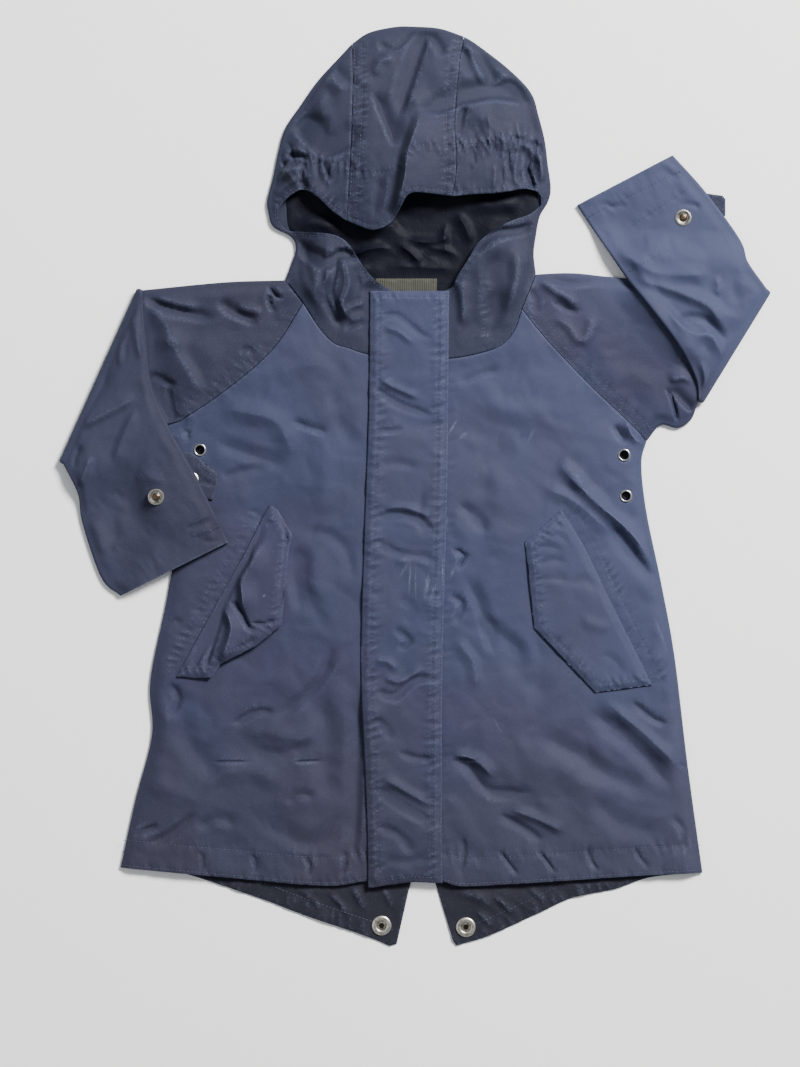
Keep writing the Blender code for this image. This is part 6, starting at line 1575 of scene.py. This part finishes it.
# painted light: a lit copy for the sleeve lying towards the lamp, lightened towards its forearm, with a
# little painted shade
SHELL_PAINTED_LIT = cloth_material("shell_cloth_painted_lit", painted_shade=0.14, fade=(0.5, 0.8, 0.14, 0.22, 0.62))
SHELL_INSIDE_SHADED = cloth_material("shell_cloth_inside_painted_shade", painted_grey_shade=0.6, painted_shade=0.75)
LINING_PAINTED_SHADE = shaded_lining_material()
TAPE = label_material()
THREAD = thread_material()
SILVER = metal_material("snap_silver", (0.16, 0.14, 0.11, 1.0), (0.60, 0.57, 0.50, 1.0), 0.32)
STUD = metal_material("stud_silver", (0.12, 0.115, 0.10, 1.0), (0.38, 0.37, 0.34, 1.0), 0.30,
                      core=(0.15, 0.095, 0.062, 1.0))
GUNMETAL = metal_material("eyelet_gunmetal", (0.035, 0.034, 0.036, 1.0), (0.55, 0.54, 0.52, 1.0), 0.25)
# painted shade: near-black finish for the disc in a snap socket's hole
SOCKET_PAINTED_SHADE = metal_material("snap_socket_painted_shade", (0.006, 0.006, 0.006, 1.0), (0.02, 0.018, 0.015, 1.0), 0.5)


# ---------------------------------------------------------------- body
def circle(x, y, radius, segments):
    """Points round a circle, counter-clockwise."""
    turns = [2 * math.pi * k / segments for k in range(segments)]
    return np.array([(x + radius * math.cos(t), y + radius * math.sin(t)) for t in turns])


def add_body():
    """The back with its fishtail, and the two fronts."""
    back = loop_of(*chain(BACK_CHAIN, seam))
    x, y = np.meshgrid(*TAIL_MARKS)
    piece = add_panel("cloth_back", inset(back, SEAM_GAP / 2), tail_top, BACK_LATTICE, SHELL_INSIDE_SHADED, "back",
                      marks=[np.column_stack([x.ravel(), y.ravel()])])
    for name, loop in fronts.items():
        holes = [circle(x, y, EYELET_HOLE, 20) for x, y in EYELETS.values()
                 if inside(np.array([(x, y)]), loop)[0]]
        piece = add_panel("cloth_" + name, inset(loop, SEAM_GAP / 2), front_top, BODY_LATTICE, SHELL, name,
                          holes=holes, layer="body", folds=BODY_FOLDS)


def add_overlays():
    """The placket, the pocket flaps, the cuff tabs and the label."""
    rows = [("placket", placket_top, PLACKET_FOLDS, []),
            ("pocket_flap_left", flap_left_top, [], FLAP_LEFT_CREASES),
            ("pocket_flap_right", flap_right_top, FLAP_RIGHT_FOLDS, [])]
    for name, top, folds, table in rows:
        piece = add_panel("cloth_" + name, overlays[name], top, FINE_LATTICE, SHELL, name, layer=name,
                          folds=folds, table=table)
    tabs = [("cuff_tab_right", TAB_RIGHT, tab_right_top, ["cloth_front_right"]),
            ("cuff_tab_left", TAB_LEFT, tab_left_top, [])]
    for name, corners, height, below in tabs:
        loop = counter_clockwise(straight(corners, EDGE_STEP)[:-1])
        piece = add_panel("cloth_" + name, loop, height, TAB_LATTICE, SHELL_SHADE_AND_LIGHT, name, layer=name)
    loop = straight(LABEL, EDGE_STEP)[:-1]
    piece = add_panel("cloth_label", loop, label_top, FINE_LATTICE, TAPE, "neck_label",
                      wall=LABEL_WALL)


# ---------------------------------------------------------------- sleeves
def rolled_over(start, start_roll, end, end_roll, sense=1):
    """Outer and inner points of the steps of a half-round edge from one layer to the other."""
    inner_share = (ROLL - CLOTH_WALL) / ROLL
    for k in range(1, ROLL_STEPS):
        share = k / ROLL_STEPS
        angle = sense * (math.pi / 2 - math.pi * share)
        base = (1 - share) * start + share * end
        roll = ((1 - share) * start_roll + share * end_roll) * math.cos(angle)
        yield (at_height(base + roll, ROLL * (1 + math.sin(angle))),
               at_height(base + roll * inner_share, ROLL + (ROLL - CLOTH_WALL) * math.sin(angle)))


def ring_points(front, back):
    """One flattened ring: outer and inner points, and each point's share of front and back relief."""
    front, back = front.copy(), back.copy()
    rolls = []
    for layer in (front, back):
        moves = np.zeros_like(layer)
        for end, sense in ((0, 1), (-1, -1)):
            away = np.linalg.norm(layer - layer[end], axis=1)
            inward = layer[end + sense * 3] - layer[end]
            inward = inward / np.linalg.norm(inward)
            moves += inward * (ROLL * np.clip(1 - away / ROLL_RAMP, 0.0, 1.0))[:, None]
            rolls.append(-inward * ROLL)
        layer += moves
    front_high, front_low, back_high, back_low = rolls
    outer, inner, shares = [], [], []

    def add_layer(points, outer_z, inner_z, share):
        ends = np.minimum(np.linalg.norm(points - points[0], axis=1),
                          np.linalg.norm(points - points[-1], axis=1))
        outer.extend((x, y, outer_z) for x, y in points)
        inner.extend((x, y, inner_z) for x, y in points)
        shares.extend(share * smooth(ends / RELIEF_RAMP))

    def add_roll(start, start_roll, end, end_roll, sense):
        for one_outer, one_inner in rolled_over(start[None], start_roll, end[None], end_roll, sense):
            outer.append(tuple(one_outer[0]))
            inner.append(tuple(one_inner[0]))
            shares.append(0.0)

    add_layer(front, FRONT_TOP, FRONT_TOP - CLOTH_WALL, 1.0)
    add_roll(front[-1], front_low, back[-1], back_low, 1)
    add_layer(back[::-1], 0.0, CLOTH_WALL, -1.0)
    add_roll(back[0], back_high, front[0], front_high, -1)
    return np.array(outer), np.array(inner), np.array(shares)


def add_sleeve(name, material):
    """A flattened tube from the raglan seam to the cuff, rolled over at the elbow."""
    side_sign = 1.0 if name.endswith("left") else -1.0
    layout = layouts[name]
    rings = []
    for row, (front, back) in enumerate(zip(layout["upper"]["front"], layout["upper"]["back"])):
        if row == 0:
            front = beside(front, side_sign * SEAM_GAP)
            back = beside(back, side_sign * SEAM_GAP)
        rings.append(("upper", row, *ring_points(front, back)))
    for step in range(1, ELBOW_STEPS):
        turn = math.pi * step / ELBOW_STEPS
        outer, inner, shares = ring_points(layout["fore"][0], layout["fore"][0])
        for skin in (outer, inner):
            reach = ELBOW_AXIS - skin[:, 2]
            skin[:, :2] += reach[:, None] * math.sin(turn) * layout["outward"]
            skin[:, 2] = ELBOW_AXIS - reach * math.cos(turn)
        rings.append(("elbow", 0, outer, inner, shares))
    for row, line in enumerate(layout["fore"]):
        rings.append(("fore", row, *ring_points(line, line)))
    sheet = Sheet()
    for part in ("upper", "elbow", "fore"):
        some = [ring for ring in rings if ring[0] == part]
        outer, inner = np.vstack([ring[2] for ring in some]), np.vstack([ring[3] for ring in some])
        shares = np.concatenate([ring[4] for ring in some])
        rows = np.repeat([ring[1] for ring in some], [len(ring[2]) for ring in some])
        if part == "upper":
            rise = at_least(body_rise(outer[:, :2]), LAYER_LEAST) * np.maximum(shares, 0.0)
            rise *= smooth((UPPER_RINGS - rows) / 4)
            outer[:, 2] += rise
            inner[:, 2] += rise
        if part == "fore":
            lift = np.where(rows > 0, forearm_lift(outer[:, :2], name), 2 * ELBOW_AXIS - FRONT_TOP)
            rise = fore_rise(outer[:, :2], name) * np.maximum(-shares, 0.0) * smooth(rows / 5)
            for skin in (outer, inner):
                skin[:, 2] = lift + FRONT_TOP - skin[:, 2] + rise
        sheet.add(outer, inner)
    around = len(rings[0][2])
    for row in range(len(rings) - 1):
        for i in range(around):
            j = (i + 1) % around
            a, b = row * around + i, row * around + j
            quad = (a, b, b + around, a + around)
            sheet.faces.append(quad if side_sign > 0 else quad[::-1])
    add_cloth("cloth_" + name, sheet, material, name)


# ---------------------------------------------------------------- hood
def trimmed(part, clear):
    """A curve without the points that lie close to its ends."""
    ends = np.minimum(np.linalg.norm(part - part[0], axis=1), np.linalg.norm(part - part[-1], axis=1))
    keep = ends > clear
    keep[0] = keep[-1] = True
    return part[keep]


def add_rolled(name, front_parts, back_parts):
    """A front and a back layer joined by a rolled fold along their first curve."""
    fold = front_parts[0]
    sheet = Sheet()
    rows = []
    rolls = []
    for parts, lattice in ((front_parts, FINE_LATTICE), (back_parts, BACK_LATTICE)):
        parts = [fold] + [trimmed(part, TRIM) for part in parts[1:]]
        loop = loop_of(*parts)
        folded = np.arange(len(loop)) < len(fold) - 1
        base = inset(loop, np.where(folded, ROLL, SEAM_GAP / 2))
        flush = np.where(folded, 0.0, SEAM_GAP / 2)
        where = list(range(len(fold)))
        if not rows:
            marks = mark_rows("hood", HOOD_FOLDS) + [inset(base, EDGE_ROW)]
            points, faces, rim = fill(base, lattice, marks=marks)
            heights = hood_top(points)
            edge = np.ones(len(points), bool)
            edge[rim:] = False
            edge[where] = False
            heights[edge] -= EDGE_ROLL
            heights[where] = FRONT_TOP
            first = sheet.add(at_height(points, heights), at_height(points, heights - CLOTH_WALL))
            sheet.faces += [tuple(face + first) for face in faces]
        else:
            points, faces, rim = fill(base, lattice)
            first = sheet.add(at_height(points, 0.0), at_height(points, CLOTH_WALL))
            sheet.faces += [tuple(face[::-1] + first) for face in faces]
        rows.append([first + i for i in where])
        rolls.append((base[where], (inset(loop, flush) - base)[where]))
    (front_base, front_roll), (back_base, back_roll) = rolls
    chains = [rows[0]]
    for outer, inner in rolled_over(front_base, front_roll, back_base, back_roll):
        first = sheet.add(outer, inner)
        chains.append(list(range(first, first + len(fold))))
    chains.append(rows[1])
    for upper, lower in zip(chains, chains[1:]):
        for i in range(len(fold) - 1):
            sheet.faces.append((upper[i + 1], upper[i], lower[i], lower[i + 1]))
    sheet.faces = [tuple(int(corner) for corner in face) for face in sheet.faces]
    piece = add_cloth("cloth_" + name, sheet, SHELL_HOOD_SHADED, name)


def add_hood():
    """Two sides and a centre strip, each rolled over at the hood's edge, and the lining inside, near black
    as painted shade.
    """
    for name, (front, back) in HOOD_CHAINS.items():
        add_rolled(name, chain(front, seam), chain(back, seam))
    loop = counter_clockwise(curve(LINING, EDGE_STEP)[:-1])
    piece = add_panel("cloth_hood_lining", loop, lining_top, LINING_LATTICE, LINING_PAINTED_SHADE, None,
                      table=LINING_CREASES, wall=LINING_WALL)


# ---------------------------------------------------------------- stitches
def add_stitches(name, layer, tops, where=None):
    """Short raised threads along the sewn lines of a layer."""
    points, faces = [], []
    ring = [(0.0, 1.0), (1.0, 0.2), (0.0, -0.6), (-1.0, 0.2)]
    for line, *_, threads in SEWN_ROWS[layer]:
        if not threads:
            continue
        dense = curve(line, STITCH_SAMPLE)
        if where is not None:
            dense = dense[where(dense)]
        if len(dense) < STITCH_LEAST:
            continue
        breaks = np.flatnonzero(np.linalg.norm(np.diff(dense, axis=0), axis=1) > STITCH_BREAK) + 1
        for run in np.split(dense, breaks):
            length = STITCH_SAMPLE * (len(run) - 1)
            step = np.arange(len(run)) * STITCH_SAMPLE
            for k in range(int(length / STITCH_PITCH)):
                start = k * STITCH_PITCH + STITCH_START
                marks = start + STITCH_LENGTH * np.array(STITCH_STATIONS)
                if marks[-1] > length:
                    break
                points.append(np.column_stack([np.interp(marks, step, run[:, axis]) for axis in (0, 1)]))
    spots = np.vstack(points)
    heights = tops(spots).reshape(-1, 4)
    spots = spots.reshape(-1, 4, 2)
    along = spots[:, 3] - spots[:, 0]
    along /= np.linalg.norm(along, axis=1)[:, None]
    side = np.column_stack([-along[:, 1], along[:, 0]])
    made = []
    for k, (spot, z) in enumerate(zip(spots, heights)):
        base = k * 10
        made.append((*spot[0], z[0] - STITCH_SINK))
        for station in (1, 2):
            for out, up in ring:
                x, y = spot[station] + side[k] * out * THREAD_RADIUS
                made.append((x, y, z[station] + STITCH_SINK + up * THREAD_RADIUS))
        made.append((*spot[3], z[3] - STITCH_SINK))
        for i in range(4):
            j = (i + 1) % 4
            faces.append((base, base + 1 + i, base + 1 + j))
            faces.append((base + 1 + i, base + 5 + i, base + 5 + j, base + 1 + j))
            faces.append((base + 9, base + 5 + j, base + 5 + i))
    piece = add_mesh(name, made, faces, THREAD)


def inside_any(points, loops):
    return np.any([inside(points, loop) for loop in loops], axis=0)


def add_all_stitches():
    def shown_on_body(points):
        return ~inside_any(points, [*coarse_overlays.values(), *FORE_EDGES.values()])

    def body_top(points):
        on_front = inside_any(points, coarse_fronts.values())
        return np.where(on_front, front_top(points), FRONT_TOP + body_rise(points))

    add_stitches("stitches_body", "body", body_top, shown_on_body)
    add_stitches("stitches_placket", "placket", placket_top)
    add_stitches("stitches_flap_left", "pocket_flap_left", flap_left_top)
    add_stitches("stitches_flap_right", "pocket_flap_right", flap_right_top)
    add_stitches("stitches_hood", "hood", hood_top)
    for name in SLEEVES:
        add_stitches("stitches_" + name, name, fore_top(name))
    add_stitches("stitches_tab_right", "cuff_tab_right", tab_right_top)
    add_stitches("stitches_tab_left", "cuff_tab_left", tab_left_top)
    add_stitches("stitches_tail", "tail", tail_top)


# ---------------------------------------------------------------- metal
def add_turned(name, x, y, z, profile, material, node, segments=48, core=0.0):
    """A round piece turned from (radius, height) points listed up its outside."""
    points, faces, rings = [], [], []
    for radius, height in profile:
        first = len(points)
        if radius == 0:
            points.append((x, y, z + height))
            rings.append([first] * segments)
        else:
            points.extend((px, py, z + height) for px, py in circle(x, y, radius, segments))
            rings.append(list(range(first, first + segments)))
    pairs = list(zip(rings, rings[1:]))
    if profile[0][0] > 0:
        pairs.append((rings[-1], rings[0]))
    for lower, upper in pairs:
        for i in range(segments):
            j = (i + 1) % segments
            face = tuple(dict.fromkeys([lower[i], lower[j], upper[j], upper[i]]))
            if len(face) > 2:
                faces.append(face)
    piece = add_mesh(name, points, faces, material, smooth_angle=40.0)
    crests = piece.data.attributes["crest"].data
    for index, (px, py, pz) in enumerate(points):
        if math.hypot(px - x, py - y) < core:
            crests[index].value = CORE_MARK
    if node:
        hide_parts(node)


EYELET_PROFILE = [(3.3, -1.4), (3.6, -1.4), (3.65, 0), (4.6, 0), (4.68, 0.2), (4.6, 0.5), (4.3, 0.72),
                  (3.9, 0.78), (3.55, 0.66), (3.34, 0.36)]
STUD_PROFILE = [(0, 0), (6, 0), (6.2, 0.15), (6.22, 0.4), (6, 0.72), (5.4, 0.84), (4.7, 0.78),
                (4.1, 0.66), (3.5, 0.54), (3.1, 0.48), (2.9, 0.5), (2.6, 0.8), (2.45, 1.5), (2.2, 1.85),
                (1.7, 2), (1, 2.05), (0, 2.05)]
TAIL_PROFILE = [(0, 0), (7.2, 0), (7.5, 0.2), (7.5, 0.6), (7.2, 1.05), (6.6, 1.35), (5.8, 1.5),
                (4.8, 1.52), (4.1, 1.4), (3.7, 1.1), (3.5, 0.6), (0, 0.5)]
TAB_PROFILE = [(0, 0), (5.8, 0), (6, 0.2), (5.9, 0.5), (5.4, 0.75), (4.4, 0.8), (4, 0.6),
               (0, 0.55)]


def add_hex_ring(name, x, y, z, inner, outer, height):
    """A thin ring with a six-sided hole."""
    points, faces = [], []
    count = 36
    for k in range(count):
        turn = 2 * math.pi * k / count
        share = math.cos(math.pi / 6) / math.cos((turn % (math.pi / 3)) - math.pi / 6)
        c, s = math.cos(turn), math.sin(turn)
        for radius, up in ((inner * share, 0.0), (outer, 0.0), (outer, height), (inner * share, height)):
            points.append((x + radius * c, y + radius * s, z + up))
    for k in range(count):
        a, b = 4 * k, 4 * ((k + 1) % count)
        for i in range(4):
            j = (i + 1) % 4
            faces.append((a + i, b + i, b + j, a + j)[::-1])
    piece = add_mesh(name, points, faces, SILVER, smooth_angle=30.0)


def spot_of(name):
    """Middle of a CAD node in x and y, and its underside, in table millimetres."""
    low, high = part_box(name)
    middle = np.array((low + high) / 2) / MM + CENTRE
    return middle[0], middle[1], low.z / MM


STUD_REACH = 6.0
STUD_POST = 2.62
TAB_SNAP_REACH = 5.0
METAL_SINK = 0.1
SOCKET_LIFT = 0.5
SOCKET_HOLE = 2.2
SOCKET_EDGE = 3.6
SOCKET_HEIGHT = 0.5
# painted shade: the dark disc under a socket's hole
SOCKET_SHADE_LIFT = 0.32
SOCKET_SHADE_PROFILE = [(0, 0), (2.6, 0), (2.6, 0.16), (0, 0.16)]
TAIL_SINK = 0.2


def add_hardware():
    """Eyelets, cuff studs, the tab's snap and the snap sockets on the fishtail, with a near-black disc in
    each socket's hole as painted shade.
    """
    for name in EYELETS:
        x, y, _ = spot_of(name)
        top = front_top(np.array([(x, y)]))[0] + METAL_SINK
        add_turned("metal_" + name, x, y, top, EYELET_PROFILE, GUNMETAL, name)
    for side in ("right", "left"):
        x, y, _ = spot_of("cuff_stud_" + side)
        top = fore_top("sleeve_" + side)(circle(x, y, STUD_REACH, 8)).max() - METAL_SINK
        add_turned("metal_cuff_stud_" + side, x, y, top, STUD_PROFILE, STUD, "cuff_stud_" + side,
                   core=STUD_POST)
        x, y, low = spot_of("tail_snap_" + side)
        add_turned("metal_tail_snap_" + side, x, y, low - TAIL_SINK, TAIL_PROFILE, SILVER,
                   "tail_snap_" + side)
        add_hex_ring("metal_tail_socket_" + side, x, y, low + SOCKET_LIFT, SOCKET_HOLE, SOCKET_EDGE,
                     SOCKET_HEIGHT)
        # painted shade: a near-black disc in the socket's hole
        add_turned("metal_tail_socket_shade_" + side, x, y, low + SOCKET_SHADE_LIFT, SOCKET_SHADE_PROFILE, SOCKET_PAINTED_SHADE, None,
                   segments=24)
    x, y, _ = spot_of("tab_snap_right")
    top = tab_right_top(circle(x, y, TAB_SNAP_REACH, 8)).max() + METAL_SINK
    add_turned("metal_tab_snap_right", x, y, top, TAB_PROFILE, SILVER, "tab_snap_right")


def finish_strip():
    """The closure tape under the placket keeps its solid and gets a woven tape's finish."""
    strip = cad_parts["zip_strip"]
    material, tree, shader, place = new_material("closure_tape", 0.7, sheen=0.1)
    ribs = node(tree, "ShaderNodeTexWave", {"Vector": place, "Scale": 170.0, "Distortion": 0.3},
                bands_direction="Y").outputs["Fac"]
    link(tree, mix(tree, ribs, STRIP_DARK, STRIP_LIGHT),
         shader.inputs["Base Color"])
    link(tree, bumps(tree, [(ribs, 0.5, 0.0003)]), shader.inputs["Normal"])
    strip.data.materials.clear()
    strip.data.materials.append(material)


# ---------------------------------------------------------------- stage
IMAGE_CENTRE = (-11.25, -35.55)  # world millimetres under the middle of the picture
PICTURE_HEIGHT = 800.25
CAMERA_HEIGHT = 2600.0
FOCUS_HEIGHT = 5.0


def add_stage():
    floor_mesh = bpy.data.meshes.new("floor")
    floor_mesh.from_pydata([(-4, -4, -0.0004), (4, -4, -0.0004), (4, 4, -0.0004), (-4, 4, -0.0004)], [],
                           [(0, 1, 2, 3)])
    floor_mesh.materials.append(floor_material())
    floor = bpy.data.objects.new("floor", floor_mesh)
    bpy.context.scene.collection.objects.link(floor)
    world = bpy.data.worlds.new("studio")
    bpy.context.scene.world = world
    world.use_nodes = True
    background = world.node_tree.nodes["Background"]
    background.inputs["Color"].default_value = (0.93, 0.96, 1.0, 1.0)
    background.inputs["Strength"].default_value = 0.40
    lights = [
        ("key", (1.5, 1.72, 2.25), 0.9, 285.0, (1.0, 0.985, 0.96)),
        ("fill", (-1.2, -0.2, 1.6), 1.4, 5.0, (0.93, 0.96, 1.0)),
    ]
    for name, place, size, energy, colour in lights:
        data = bpy.data.lights.new(name, "AREA")
        data.size = size
        data.energy = energy
        data.color = colour
        light = bpy.data.objects.new(name, data)
        light.location = place
        light.rotation_euler = (-Vector(place)).to_track_quat("-Z", "Y").to_euler()
        bpy.context.scene.collection.objects.link(light)
    camera_data = bpy.data.cameras.new("camera")
    camera_data.sensor_width = 36.0
    camera_data.lens = 36.0 * (CAMERA_HEIGHT - FOCUS_HEIGHT) / PICTURE_HEIGHT
    camera = bpy.data.objects.new("camera", camera_data)
    camera.location = (IMAGE_CENTRE[0] * MM, IMAGE_CENTRE[1] * MM, CAMERA_HEIGHT * MM)
    bpy.context.scene.collection.objects.link(camera)
    bpy.context.scene.camera = camera


add_stage()
add_body()
add_hood()
add_sleeve("sleeve_right", SHELL_SHADE_AND_LIGHT)
add_sleeve("sleeve_left", SHELL_PAINTED_LIT)
add_overlays()
add_all_stitches()
add_hardware()
finish_strip()
